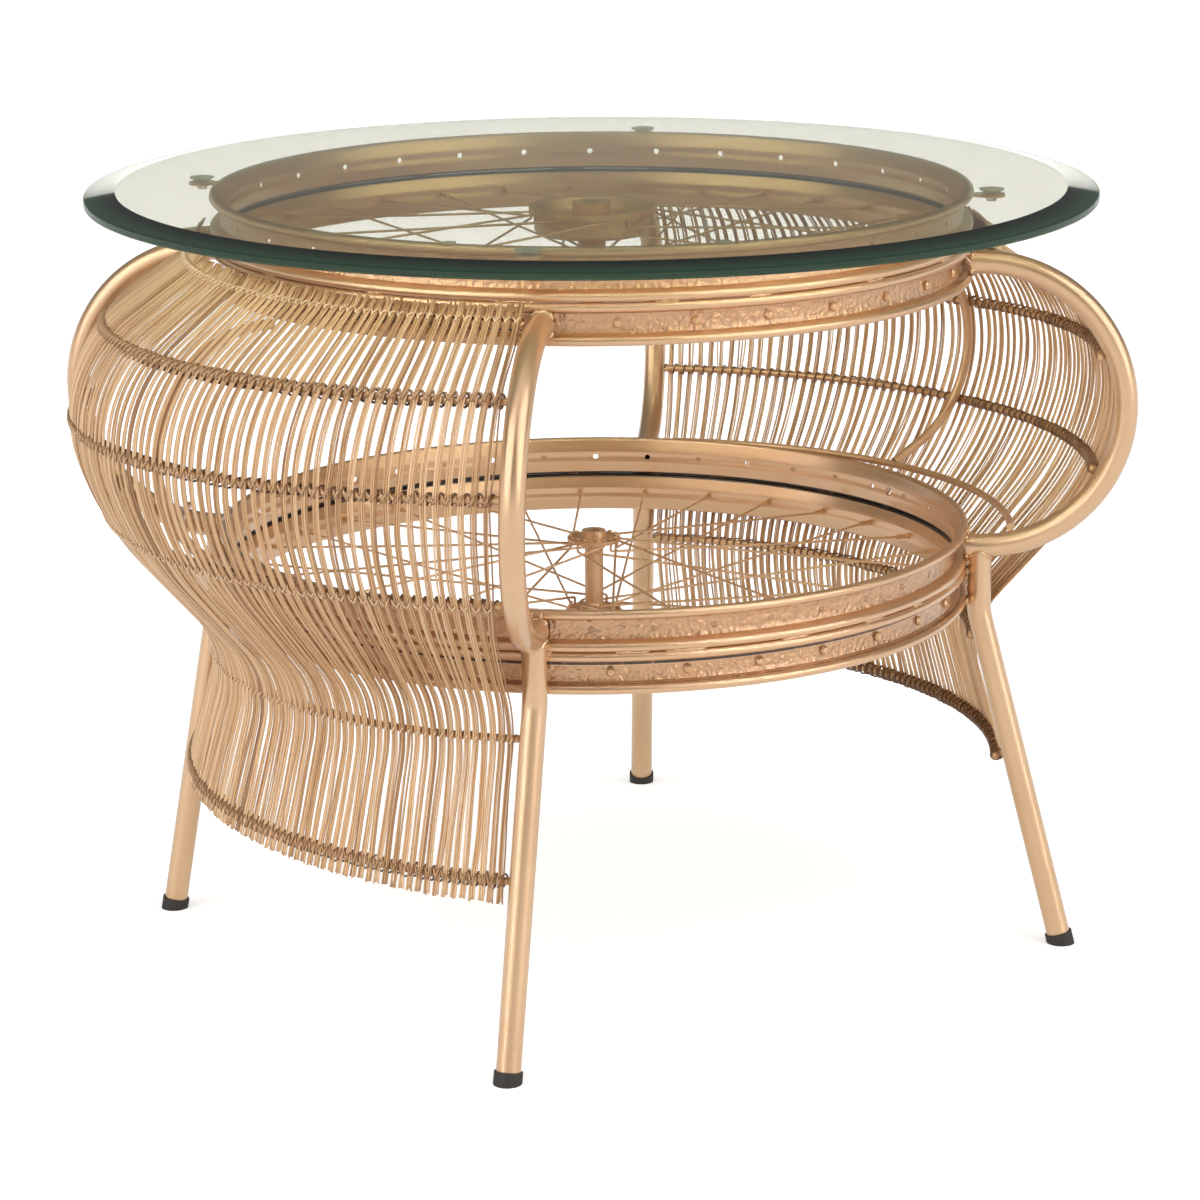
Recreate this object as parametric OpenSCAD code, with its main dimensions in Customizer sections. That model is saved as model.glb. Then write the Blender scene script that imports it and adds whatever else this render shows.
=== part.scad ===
// Round glass coffee table made of stacked cycle rims, bent steel tubes and two reed panels.
// Axes: +Z up, legs at 45, 135, 225 and 315 degrees, reed panels on +X and -X, open sides on +Y and -Y.
// Origin: centre of the table at floor level. All lengths are millimetres and all angles degrees.

/* [Glass top] */
// Diameter of the glass disc
glass_d = 800; // [760:10:840]
// Thickness of the glass disc
glass_t = 10; // [8:1:12]
// Width of the bevel on the upper edge
bevel_w = 25; // [15:1:35]
// Depth of the bevel at the outer edge
bevel_drop = 3.5; // [2:0.5:5]

/* [Rims] */
// Outer diameter of every rim, over its rolled edges
rim_d = 604; // [590:2:620]
// Width of every rim, from edge to edge
rim_w = 32.2; // [30:0.1:36]
// Diameter of the rolled edges
roll_d = 7.4; // [6:0.2:8]
// Depth of the outer channel between the rolled edges
channel_depth = 8.5; // [7:0.5:10]
// Sheet thickness of the rims
rim_t = 1.5; // [1.2:0.1:2]
// Height of the lower stack's middle joint above the floor
lower_stack_z = 313; // [300:1:330]
// Height of the upper stack's middle joint above the floor
upper_stack_z = 575; // [560:1:590]
// Gap between stacked rims, filled by weld spots
stack_gap = 0.2; // [0.1:0.1:0.5]
// Diameter of the spoke holes in the two bare rims
spoke_hole_d = 4.6; // [4:0.1:5.5]
// Diameter of the valve hole in the lower bare rim
valve_hole_d = 8.5; // [8:0.1:9]
// Number of spoke holes in the lower bare rim
lower_bare_holes = 40; // [36:4:40]
// Number of spoke holes in the upper bare rim
upper_bare_holes = 32; // [32:4:36]

/* [Spokes] */
// Number of spokes in each spoked wheel
spoke_count = 32; // [28:4:36]
// Diameter of a spoke
spoke_d = 2; // [1.8:0.1:2.3]
// Number of flange holes that a spoke leads or trails its nipple by
spoke_cross = 3; // [2:1:3]
// Diameter of a nipple's shank
nipple_d = 4; // [3.5:0.1:4.3]
// Diameter of a nipple's head
nipple_head_d = 7; // [6:0.5:8]
// Length of a nipple's shank inside the rim sheet
nipple_l = 12; // [10:1:14]

/* [Hubs] */
// Diameter of the drum on the upper hub
drum_d = 100; // [90:2:110]
// Depth of the drum
drum_h = 22; // [16:1:26]
// Diameter of the small flange under the drum
drum_flange_d = 62; // [50:2:70]
// Diameter of the upper hub's barrel
drum_barrel_d = 22; // [20:1:28]
// Flange diameter of the lower hub
hub_flange_d = 43; // [36:1:50]
// Diameter of the lower hub's barrel
hub_barrel_d = 15; // [14:0.5:20]
// Height of a hub over its outer flange faces
hub_span = 62; // [50:1:70]
// Bore of the upper hub
drum_bore_d = 15; // [12:0.5:17]
// Bore of the lower hub
hub_bore_d = 9.6; // [8:0.2:10.5]

/* [Tube frame] */
// Outer diameter of the frame tube
tube_d = 19; // [16:0.5:22]
// Wall of the frame tube
tube_wall = 1.5; // [1.2:0.1:2]
// Gap between a rim and what is welded to it, filled by the weld
weld_gap = 0.3; // [0.1:0.1:0.5]
// Straight length at each end of a bow
bow_straight = 9; // [6:0.5:12]
// Sideways lean of the front bow, in degrees
front_bow_lean = 1.6; // [0:0.1:2.4]
// Sideways lean of the back bow
back_bow_lean = 2; // [0:0.1:2.4]
// Gap between a leg's stub and the rims
stub_gap = 0.5; // [0.3:0.1:1]
// Distance from the bottom of the lower stack down to the leg's bend
bend_below_stack = 4.5; // [3:0.5:10]
// Radius of the leg's bend, at the middle of the tube
bend_r = 40; // [30:1:60]
// Distance of the front foot from the table's axis
front_foot_r = 370; // [345:1:390]
// Distance of the right foot from the table's axis
right_foot_r = 384; // [345:1:390]
// Distance of the back foot from the table's axis
back_foot_r = 388; // [345:1:390]
// Distance of the left foot from the table's axis
left_foot_r = 357; // [345:1:390]
// Sideways drift of the front foot, in degrees round the axis
front_foot_turn = -2.2; // [-3:0.1:3]
// Sideways drift of the right foot
right_foot_turn = -1.3; // [-3:0.1:3]
// Sideways drift of the back foot
back_foot_turn = 1.9; // [-3:0.1:3]
// Sideways drift of the left foot
left_foot_turn = 1.8; // [-3:0.1:3]

/* [Foot caps] */
// Outer diameter of a rubber foot cap
cap_d = 22; // [21:0.5:26]
// Height of a foot cap's side
cap_h = 9; // [7:0.5:14]
// Thickness of rubber under the tube
cap_floor = 3; // [2:0.5:5]
// Clearance between the tube and its cap
cap_gap = 0.1; // [0.05:0.05:0.3]

/* [Glass supports] */
// Diameter of the round tab that carries a suction cup
tab_d = 21; // [18:1:24]
// Thickness of the tab
tab_t = 2.2; // [1.8:0.1:3]
// Reach of the tab's centre beyond the rims
tab_reach = 14; // [12:0.5:18]
// Diameter of a suction cup
cup_d = 20; // [16:1:24]
// Height of a suction cup above its tab
cup_h = 4; // [3:0.5:6]
// Diameter of a suction cup's neck in the tab
neck_d = 4.6; // [4:0.1:6]
// Gap between the glass and what it rests on
glass_gap = 0.3; // [0.1:0.1:0.5]
// Diameter of the two clear bumpers on the upper rim
bumper_d = 10; // [8:0.5:12]
// Height of the glass above the upper rim
glass_lift = 1.2; // [1:0.1:3]

/* [Reed panels] */
// Number of reed groups in one panel
reed_groups = 68; // [50:1:70]
// Width of one group of three reeds, side by side
reed_w = 5.4; // [4:0.2:5.6]
// Thickness of a reed
reed_t = 2.2; // [1.8:0.1:2.6]
// Depth of the reeds' middle inside the middle of the bows
reed_inset = 8.3; // [8:0.1:9]
// Smallest radius of the panels, at the waist
waist_r = 309.5; // [308:0.5:312]
// Height of the reeds' upper tips above the floor
reed_top = 581; // [576:1:590]
// Height of the left panel's lowest row of wire above the floor
left_hem_z = 151; // [140:1:160]
// Height of the right panel's lowest row of wire above the floor
right_hem_z = 153; // [140:1:160]
// Length of the reeds' cut ends below the left panel's lowest row
left_fringe = 11.5; // [6:0.5:20]
// Length of the reeds' cut ends below the right panel's lowest row
right_fringe = 3; // [2:0.5:20]
// Angle between a corner of the left panel and its first reed group, low down
left_edge = 3.5; // [3.2:0.05:4.5]
// Angle between a corner of the right panel and its first reed group, low down
right_edge = 2.6; // [2.55:0.05:4.5]
// Gap between the outermost reeds and a bow, at the bow's upper arm
reed_side_gap = 1.3; // [1:0.1:3]
// Diameter of the rods that carry the reeds
rod_d = 6; // [5:0.5:6.4]
// Diameter of the wire that ties the reeds to the rods
wire_d = 2.4; // [1.6:0.2:3]
// Clearance between reeds, rods and wires
tie_gap = 0.3; // [0.2:0.05:0.5]
// Diameter of the upright rod in the middle of each panel
middle_rod_d = 8; // [6:0.5:10]
// Diameter of the hoop rod behind the reeds at the lower stack
hoop_rod_d = 6; // [5:0.5:8]

/* [Hidden] */
$fn = 96;

// Small overlap that lets a cut pass right through a face
eps = 0.5;

// Rims
rim_r = rim_d / 2;
roll_r = roll_d / 2;
well_r = rim_r - channel_depth;
rim_inner_r = well_r - rim_t;
// Middle of a rolled edge, as its distance from the axis and from the rim's middle
roll_x = rim_r - roll_r;
roll_z = rim_w / 2 - roll_r;
// Height of the middle of each rim above the floor
rim_step = (rim_w + stack_gap) / 2;
lower_bare_z = lower_stack_z + rim_step;
lower_spoked_z = lower_stack_z - rim_step;
upper_bare_z = upper_stack_z + rim_step;
upper_spoked_z = upper_stack_z - rim_step;
lower_stack_bottom = lower_spoked_z - rim_w / 2;
upper_lip_z = upper_bare_z + rim_w / 2;
// Directions of the first spoke hole in each rim, in degrees
lower_bare_turn = 7.8;
upper_bare_turn = 8.4;
lower_spoked_turn = 10.5;
upper_spoked_turn = 0.5;
// The valve hole lies between two spoke holes
valve_turn = -5.7;

// Glass
glass_z = upper_lip_z + glass_lift;
arris = 1.5;

// Frame: a bow's two ends are level with the upper spoked rim and the lower bare rim
bow_top_z = upper_spoked_z;
bow_low_z = lower_bare_z;
bow_z = (bow_top_z + bow_low_z) / 2;
// Radius of the C-shaped bow, at the middle of the tube
bow_r = (bow_top_z - bow_low_z) / 2;
// A bow's cut end stands on the flanks of the rim's two rolled edges
bow_end_r = roll_x + sqrt(max(0, pow(roll_r + weld_gap, 2) - pow(roll_z - tube_d / 2, 2)));
bow_centre_r = bow_end_r + bow_straight;
stub_r = rim_r + tube_d / 2 + stub_gap;
bend_z = lower_stack_bottom - bend_below_stack;
// Clearance of the saddle that is cut into a leg's upper end
saddle_gap = 0.3;
// How far the saddle's edges stop below the middle of the bow
saddle_drop = 4;

// Corners: direction of the corner, distance of its foot, drift of its foot and lean of its bow
front_leg_data = [225, front_foot_r, front_foot_turn, front_bow_lean];
right_leg_data = [315, right_foot_r, right_foot_turn, 0];
back_leg_data = [45, back_foot_r, back_foot_turn, back_bow_lean];
left_leg_data = [135, left_foot_r, left_foot_turn, 0];

// Glass supports
tab_r = rim_r + tab_reach;
cup_top = glass_z - glass_gap;
tab_top = cup_top - cup_h;
tab_arm_w = 12;
neck_gap = 0.2;
bulb_d = 8;
bulb_h = 3;
bumper_turns = [213, 252];

// Reed panels: rows of tie wire, each as height at the middle of the panel and slope, then the
// line of the reeds' lower tips
left_rows = [[565.5, 0], [518, 0.75], [447, 1.5], [368, 0.4], [247, 0], [left_hem_z, -1.5]];
right_rows = [[565.5, 0], [475.5, 2.1], [388, 0.4], [252, 0], [right_hem_z, 0]];
left_tips = [left_hem_z - left_fringe, -2.6];
right_tips = [right_hem_z - right_fringe, 0];
// Angle that a rod runs on past a bow it lies inside, and that a wire runs on past the last reeds
rod_past = 0.6;
wire_past = 0.4;
// Distance outside the rims of the hoop rod's end that lies on a bow
hoop_reach = 34;
// Direction of its other end, which lies against the rim, from the middle of the panel
hoop_touch_turn = 40;
// Number of straight pieces in a rod or wire
row_steps = 24;
// Number of sides of a rod or wire
row_sides = 8;

// Outline of the reeds, at their middle: a slope to the tips, the bulge, a wide lower curve,
// a slope to the waist, the waist and a slope to the hem
bulge_r = bow_r - reed_inset;
bulge_top_angle = 55;
bulge_low_angle = -15;
lower_r = 200;
lower_angle = 41;
waist_bend_r = 70;
hem_angle = 16;
tip_r = rim_r + 10;
// Centre of the bulge's arc and of the wide lower curve
bulge_low = [bow_centre_r + bulge_r * cos(bulge_low_angle), bow_z + bulge_r * sin(bulge_low_angle)];
lower_centre = bulge_low - lower_r * [cos(bulge_low_angle), sin(bulge_low_angle)];
lower_end = lower_centre + lower_r * [cos(lower_angle), -sin(lower_angle)];
waist_centre_r = waist_r + waist_bend_r;
waist_top_r = waist_centre_r - waist_bend_r * cos(lower_angle);
waist_top_z = lower_end[1] - (lower_end[0] - waist_top_r) / tan(lower_angle);
waist_z = waist_top_z - waist_bend_r * sin(lower_angle);
waist_low_r = waist_centre_r - waist_bend_r * cos(hem_angle);
waist_low_z = waist_z - waist_bend_r * sin(hem_angle);
bulge_top = [bow_centre_r + bulge_r * cos(bulge_top_angle), bow_z + bulge_r * sin(bulge_top_angle)];

// Radius of the reeds' middle at a height
function reed_r(z) =
    z > bulge_top[1] ? max(tip_r, bulge_top[0] - (z - bulge_top[1]) * tan(bulge_top_angle)) :
    z > bulge_low[1] ? bow_centre_r + sqrt(pow(bulge_r, 2) - pow(z - bow_z, 2)) :
    z > lower_end[1] ? lower_centre[0] + sqrt(pow(lower_r, 2) - pow(z - lower_centre[1], 2)) :
    z > waist_top_z ? lower_end[0] - (lower_end[1] - z) * tan(lower_angle) :
    z > waist_low_z ? waist_centre_r - sqrt(pow(waist_bend_r, 2) - pow(z - waist_z, 2)) :
    waist_low_r + (waist_low_z - z) * tan(hem_angle);

// Change of that radius with height
function reed_slope(z) = (reed_r(z + 1) - reed_r(z - 1)) / 2;

// Point at a distance outside the reeds' middle, square to them
function reed_offset(z, away) =
    let(s = reed_slope(z), n = sqrt(1 + s * s))
    [reed_r(z) + away / n, z - away * s / n];

// Height of a row at a sideways distance y
function row_z(row, y) = row[0] - y * tan(row[1]);

// Point of a row, at an angle round the axis and a distance outside the reeds' middle
function row_point(row, a, away) =
    let(z = row_z(row, reed_r(row[0]) * sin(a)), p = reed_offset(z, away))
    [p[0] * cos(a), p[0] * sin(a), p[1]];

// The reed groups fan out upward: they lean more and more towards the panel's two sides. Each leans about
// its point at the middle height, and the groups are evenly spaced at the low height
fan_low_z = 200;
fan_mid_z = 390;

// Sideways distance that a bow's upper arm has leaned
function bow_shift(data) = (bow_top_z - bow_low_z) * tan(data[3]);

// Lean of the outermost group: it passes beside the bow's upper arm at the set gap
function side_lean(edge, shift) =
    let(room = reed_r(bow_top_z) * sin(edge) + shift - (tube_d + reed_w) / 2 - reed_side_gap)
    atan(room / (bow_top_z - fan_low_z));

// Lean of a group: u runs from -1 on the panel's low side to 1 on its high side
function group_lean(u, low, high) = ((high - low) * u * u + (high + low) * u) / 2;

// Angle round the axis between a leaning group's point at the low height and the same at another height
function fan_turn(lean) = asin((fan_mid_z - fan_low_z) * sin(lean) / reed_r(fan_mid_z));
function lean_turn(lean, z) = fan_turn(lean) + atan((z - fan_mid_z) * tan(lean) / reed_r(z));

rod_away = -(reed_t + rod_d) / 2 - tie_gap;
wire_away = (reed_t + wire_d) / 2 + tie_gap;

// Heights that give the reed outline its corners
reed_heights = concat(
    [reed_top, bulge_top[1] + (bulge_top[0] - tip_r) / tan(bulge_top_angle)],
    [for (a = [bulge_top_angle : -10 : bulge_low_angle]) bow_z + bulge_r * sin(a)],
    [for (a = [22 : 9.5 : lower_angle]) lower_centre[1] - lower_r * sin(a)],
    [for (a = [lower_angle : -9.5 : -hem_angle]) waist_z + waist_bend_r * sin(a)]
);

module tube_ring() {
    difference() {
        circle(d = tube_d);
        circle(d = tube_d - 2 * tube_wall);
    }
}

// Cross-section of a rim: two rolled edges joined by the sheet of the channel
module rim_section() {
    // The sheet bends outward below the rolled edge, over this height
    sheet_bend = 3;
    half = concat(
        [[rim_inner_r, roll_z - roll_r - sheet_bend], [rim_inner_r + rim_t / 4, roll_z - roll_r]],
        [for (a = [180 : -15 : -105]) [roll_x + roll_r * cos(a), roll_z + roll_r * sin(a)]],
        [[well_r + rim_t / 2, roll_z - roll_r - sheet_bend / 2], [well_r, roll_z - roll_r - sheet_bend - rim_t]]
    );
    polygon(concat(half, [for (i = [len(half) - 1 : -1 : 0]) [half[i][0], -half[i][1]]]));
}

module ring_holes(count, turn, d) {
    for (i = [0 : count - 1])
        rotate([0, 0, turn + i * 360 / count])
            translate([rim_inner_r - 2 * rim_t, 0, 0])
                rotate([0, 90, 0])
                    cylinder(d = d, h = channel_depth);
}

module rim(z, holes, turn, hole_d) {
    translate([0, 0, z])
        difference() {
            rotate_extrude()
                rim_section();
            ring_holes(holes, turn, hole_d);
        }
}

module glass_top() {
    r = glass_d / 2;
    color([0.55, 0.68, 0.6, 0.5])
        translate([0, 0, glass_z])
            rotate_extrude()
                polygon([
                    [0, 0], [r - arris, 0], [r, arris], [r, glass_t - bevel_drop - arris],
                    [r - arris, glass_t - bevel_drop], [r - bevel_w, glass_t], [0, glass_t]
                ]);
}

module suction_cup() {
    top_r = cup_d / 2;
    neck_r = neck_d / 2;
    low = -tab_t - neck_gap - bulb_h;
    rotate_extrude()
        polygon([
            [0, low], [bulb_d / 2, low], [bulb_d / 2, -tab_t - neck_gap], [neck_r, -tab_t - neck_gap],
            [neck_r, neck_gap], [neck_r + 2, neck_gap + 0.4], [top_r, cup_h - 0.8], [top_r, cup_h], [0, cup_h]
        ]);
}

module suction_cups() {
    color([0.85, 0.87, 0.85, 0.6])
        for (a = [45 : 90 : 315])
            rotate([0, 0, a])
                translate([tab_r, 0, tab_top])
                    suction_cup();
}

module cup_tab() {
    difference() {
        union() {
            cylinder(d = tab_d, h = tab_t);
            translate([-tab_reach, -tab_arm_w / 2, 0])
                cube([tab_reach, tab_arm_w, tab_t]);
        }
        translate([0, 0, -eps])
            cylinder(d = neck_d + 2 * neck_gap, h = tab_t + 2 * eps);
        // The arm's end follows the rim
        translate([-tab_r, 0, -eps])
            cylinder(r = rim_r + weld_gap, h = tab_t + 2 * eps, $fn = 180);
    }
}

module cup_tabs() {
    color([0.8, 0.62, 0.45])
        for (a = [45 : 90 : 315])
            rotate([0, 0, a])
                translate([tab_r, 0, tab_top - tab_t])
                    cup_tab();
}

module clear_bumpers() {
    color([0.85, 0.88, 0.85, 0.6])
        for (a = bumper_turns)
            rotate([0, 0, a])
                translate([rim_r - roll_r, 0, upper_lip_z + 0.1])
                    cylinder(d = bumper_d, h = glass_lift - glass_gap - 0.1);
}

module upper_bare_rim() {
    color([0.84, 0.66, 0.49])
        rim(upper_bare_z, upper_bare_holes, upper_bare_turn, spoke_hole_d);
}

module lower_bare_rim() {
    color([0.84, 0.66, 0.49])
        difference() {
            rim(lower_bare_z, lower_bare_holes, lower_bare_turn, spoke_hole_d);
            translate([0, 0, lower_bare_z])
                ring_holes(1, valve_turn, valve_hole_d);
        }
}

// Clearance between a nipple and its hole
nipple_gap = 0.2;

module upper_spoked_rim() {
    color([0.84, 0.66, 0.49])
        rim(upper_spoked_z, spoke_count, upper_spoked_turn, nipple_d + 2 * nipple_gap);
}

module lower_spoked_rim() {
    color([0.84, 0.66, 0.49])
        rim(lower_spoked_z, spoke_count, lower_spoked_turn, nipple_d + 2 * nipple_gap);
}

module nipple() {
    shank_r = nipple_d / 2;
    head_r = nipple_head_d / 2;
    seat = nipple_l + rim_t + nipple_gap;
    rotate([0, 90, 0])
        rotate_extrude()
            polygon([
                [0, 0], [shank_r, 0], [shank_r, seat], [head_r, seat],
                [head_r, seat + 1.2], [head_r - 1.2, seat + 2.6], [0, seat + 3]
            ]);
}

module nipples(z, turn) {
    color([0.8, 0.62, 0.45])
        for (i = [0 : spoke_count - 1])
            rotate([0, 0, turn + i * 360 / spoke_count])
                translate([rim_inner_r - nipple_l, 0, z])
                    nipple();
}

module upper_nipples() {
    nipples(upper_spoked_z, upper_spoked_turn);
}

module lower_nipples() {
    nipples(lower_spoked_z, lower_spoked_turn);
}

// A straight round bar between two points
module bar(p, q, d) {
    v = q - p;
    l = norm(v);
    translate(p)
        rotate([0, acos(v[2] / l), atan2(v[1], v[0])])
            cylinder(d = d, h = l, $fn = 24);
}

// Spokes of a wheel: every second one goes to the upper flange, and each flange's spokes lead and
// trail by turns, one layer against the flange and one beside it
module spokes(z, turn, top_r, top_z, low_r, low_z) {
    end_r = rim_inner_r - nipple_l - 0.1;
    for (i = [0 : spoke_count - 1]) {
        a = turn + i * 360 / spoke_count;
        up = i % 2 == 0;
        lead = i % 4 < 2;
        b = a + (lead ? 1 : -1) * spoke_cross * 720 / spoke_count;
        r = up ? top_r : low_r;
        layer = (lead ? 0.6 : 3) * spoke_d;
        h = up ? top_z - layer : low_z + layer;
        bar([r * cos(b), r * sin(b), z + h], [end_r * cos(a), end_r * sin(a), z], spoke_d);
    }
}

// The flanges are thin discs, and the spokes leave from the inner face of each
flange_t = 3;

module upper_spokes() {
    color([0.82, 0.65, 0.48])
        spokes(upper_spoked_z, upper_spoked_turn,
            drum_d / 2 - 1.2, hub_span / 2 - drum_lip_t,
            drum_flange_d / 2 - 2.5, -hub_span / 2 + flange_t);
}

module lower_spokes() {
    color([0.82, 0.65, 0.48])
        spokes(lower_spoked_z, lower_spoked_turn,
            hub_flange_d / 2 - 2.5, hub_span / 2 - flange_t,
            hub_flange_d / 2 - 2.5, -hub_span / 2 + flange_t);
}

// Drum: its lip, its dished face, its wall and the boss round the bore
drum_lip_t = 5;
drum_wall_r = drum_d / 2 - 3.5;
dish_depth = 8;
boss_d = 31;
boss_rise = 3;
end_l = 6;

module upper_drum_hub() {
    top = hub_span / 2;
    floor_z = top - drum_h;
    bore = drum_bore_d / 2;
    barrel = drum_barrel_d / 2;
    color([0.72, 0.55, 0.4])
        translate([0, 0, upper_spoked_z])
            rotate_extrude()
                polygon([
                    [bore, top + boss_rise], [boss_d / 2, top + boss_rise], [boss_d / 2, top - dish_depth + 1],
                    [drum_wall_r - 9, top - dish_depth], [drum_wall_r - 3, top], [drum_d / 2, top],
                    [drum_d / 2, top - drum_lip_t], [drum_wall_r, top - drum_lip_t],
                    [drum_wall_r - 1, floor_z + 3], [drum_wall_r - 5, floor_z], [barrel + 6, floor_z - 2],
                    [barrel, floor_z - 7], [barrel, -top + flange_t + 4], [barrel + 4, -top + flange_t],
                    [drum_flange_d / 2, -top + flange_t], [drum_flange_d / 2, -top],
                    [barrel + 1, -top], [barrel + 1, -top - end_l], [bore, -top - end_l]
                ]);
}

module lower_hub() {
    top = hub_span / 2;
    bore = hub_bore_d / 2;
    barrel = hub_barrel_d / 2;
    flange = hub_flange_d / 2;
    half = [
        [bore, top + end_l], [barrel + 2, top + end_l], [barrel + 3, top],
        [flange, top], [flange, top - flange_t], [barrel + 4, top - flange_t], [barrel, top - flange_t - 5]
    ];
    color([0.76, 0.59, 0.43])
        translate([0, 0, lower_spoked_z])
            rotate_extrude()
                polygon(concat(half, [for (i = [len(half) - 1 : -1 : 0]) [half[i][0], -half[i][1]]]));
}

// A leg runs straight down beside the lower stack, bends outward and ends in its foot cap
function foot_point(data) = data[1] * [cos(data[0] + data[2]), sin(data[0] + data[2])];

// Direction in which a leg splays, and its angle from upright
function splay_heading(data) =
    let(v = foot_point(data) - stub_r * [cos(data[0]), sin(data[0])])
    atan2(v[1], v[0]);
function splay_angle(data) =
    let(v = foot_point(data) - stub_r * [cos(data[0]), sin(data[0])])
    atan2(norm(v), bend_z);

// Puts its children at a leg's foot, with their Z axis up along the leg
module at_foot(data) {
    p = foot_point(data);
    translate([p[0], p[1], 0])
        rotate([0, 0, splay_heading(data)])
            rotate([0, -splay_angle(data), 0])
                children();
}

// Puts its children on the stub's axis at the bend's height, with their X axis the way the leg splays
module at_bend(data) {
    translate([stub_r * cos(data[0]), stub_r * sin(data[0]), bend_z])
        rotate([0, 0, splay_heading(data)])
            children();
}

// The bend is a little thicker than the straight tubes that run into its two ends
bend_swell = 0.1;
bend_overlap = 1.5;

module leg_bend(s, tangent) {
    translate([bend_r, 0, tangent])
        rotate([90, 0, 0])
            rotate([0, 0, 180 - bend_overlap])
                rotate_extrude(angle = s + 2 * bend_overlap)
                    translate([bend_r, 0])
                        difference() {
                            circle(d = tube_d + 2 * bend_swell);
                            circle(d = tube_d - 2 * (tube_wall + bend_swell));
                        }
}

module leg(data) {
    s = splay_angle(data);
    tangent = bend_r * tan(s / 2);
    splay = norm(foot_point(data) - stub_r * [cos(data[0]), sin(data[0])]);
    leg_l = norm([splay, bend_z]);
    stub_top = bow_low_z - saddle_drop;
    color([0.87, 0.7, 0.54])
        difference() {
            at_bend(data) {
                translate([0, 0, tangent])
                    linear_extrude(height = stub_top - bend_z - tangent)
                        tube_ring();
                leg_bend(s, tangent);
                rotate([0, -s, 0])
                    translate([0, 0, -leg_l - tube_d])
                        linear_extrude(height = leg_l + tube_d - tangent)
                            tube_ring();
            }
            // The upper end is cut to fit round the bow
            rotate([0, 0, data[0]])
                translate([rim_r - tube_d, 0, bow_low_z])
                    rotate([0, 90, 0])
                        cylinder(d = tube_d + 2 * saddle_gap, h = 3 * tube_d);
            // The lower end is cut level
            translate([foot_point(data)[0], foot_point(data)[1], cap_floor - 2 * tube_d])
                cylinder(d = 4 * tube_d, h = 2 * tube_d);
        }
}

module foot_cap(data) {
    color([0.13, 0.12, 0.11])
        difference() {
            at_foot(data)
                translate([0, 0, -cap_d])
                    cylinder(d = cap_d, h = cap_h + cap_d);
            translate([foot_point(data)[0], foot_point(data)[1], -2 * cap_d])
                cylinder(d = 4 * cap_d, h = 2 * cap_d);
            intersection() {
                at_foot(data)
                    translate([0, 0, -cap_d])
                        cylinder(d = tube_d + 2 * cap_gap, h = cap_h + 2 * cap_d);
                translate([foot_point(data)[0], foot_point(data)[1], cap_floor - cap_gap])
                    cylinder(d = 4 * cap_d, h = 2 * cap_d);
            }
        }
}

module front_leg() { leg(front_leg_data); }
module right_leg() { leg(right_leg_data); }
module back_leg() { leg(back_leg_data); }
module left_leg() { leg(left_leg_data); }
module front_foot_cap() { foot_cap(front_leg_data); }
module right_foot_cap() { foot_cap(right_leg_data); }
module back_foot_cap() { foot_cap(back_leg_data); }
module left_foot_cap() { foot_cap(left_leg_data); }

// Puts its children where a bow's straight lower end meets its ring, turned and leaned as the bow is
module at_bow(data) {
    rotate([0, 0, data[0]])
        translate([bow_centre_r, 0, bow_low_z])
            rotate([-data[3], 0, 0])
                children();
}

// A C-shaped bow: half a ring of tube with a short straight end at the top and the bottom
module bow(data) {
    color([0.87, 0.7, 0.54])
        at_bow(data) {
            translate([0, 0, bow_r])
                rotate([90, 0, 0])
                    rotate([0, 0, -90])
                        rotate_extrude(angle = 180)
                            translate([bow_r, 0])
                                tube_ring();
            for (s = [0, 2])
                translate([-bow_straight, 0, s * bow_r])
                    rotate([0, 90, 0])
                        linear_extrude(height = bow_straight)
                            tube_ring();
        }
}

module front_bow() { bow(front_leg_data); }
module right_bow() { bow(right_leg_data); }
module back_bow() { bow(back_leg_data); }
module left_bow() { bow(left_leg_data); }

// One group of reeds, as a thin strip that stands in a plane through the axis, down to its lower tip
module reed_strip(tip_z) {
    low = [for (z = concat(reed_heights, [tip_z])) reed_offset(z, -reed_t / 2)];
    high = [for (z = concat(reed_heights, [tip_z])) reed_offset(z, reed_t / 2)];
    rotate([90, 0, 0])
        translate([0, 0, -reed_w / 2])
            linear_extrude(height = reed_w)
                polygon(concat(low, [for (i = [len(high) - 1 : -1 : 0]) high[i]]));
}

module reeds(middle, edge, tips, low_leg, high_leg) {
    half_span = 45 - edge;
    low = side_lean(edge, bow_shift(low_leg));
    high = side_lean(edge, bow_shift(high_leg));
    color([0.8, 0.62, 0.4])
        for (i = [0 : reed_groups - 1]) {
            u = 2 * i / (reed_groups - 1) - 1;
            lean = group_lean(u, low, high);
            a = middle + u * half_span;
            rotate([0, 0, a + fan_turn(lean)])
                translate([0, 0, fan_mid_z])
                    rotate([-lean, 0, 0])
                        translate([0, 0, -fan_mid_z])
                            reed_strip(row_z(tips, reed_r(tips[0]) * sin(a)));
        }
}

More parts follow.
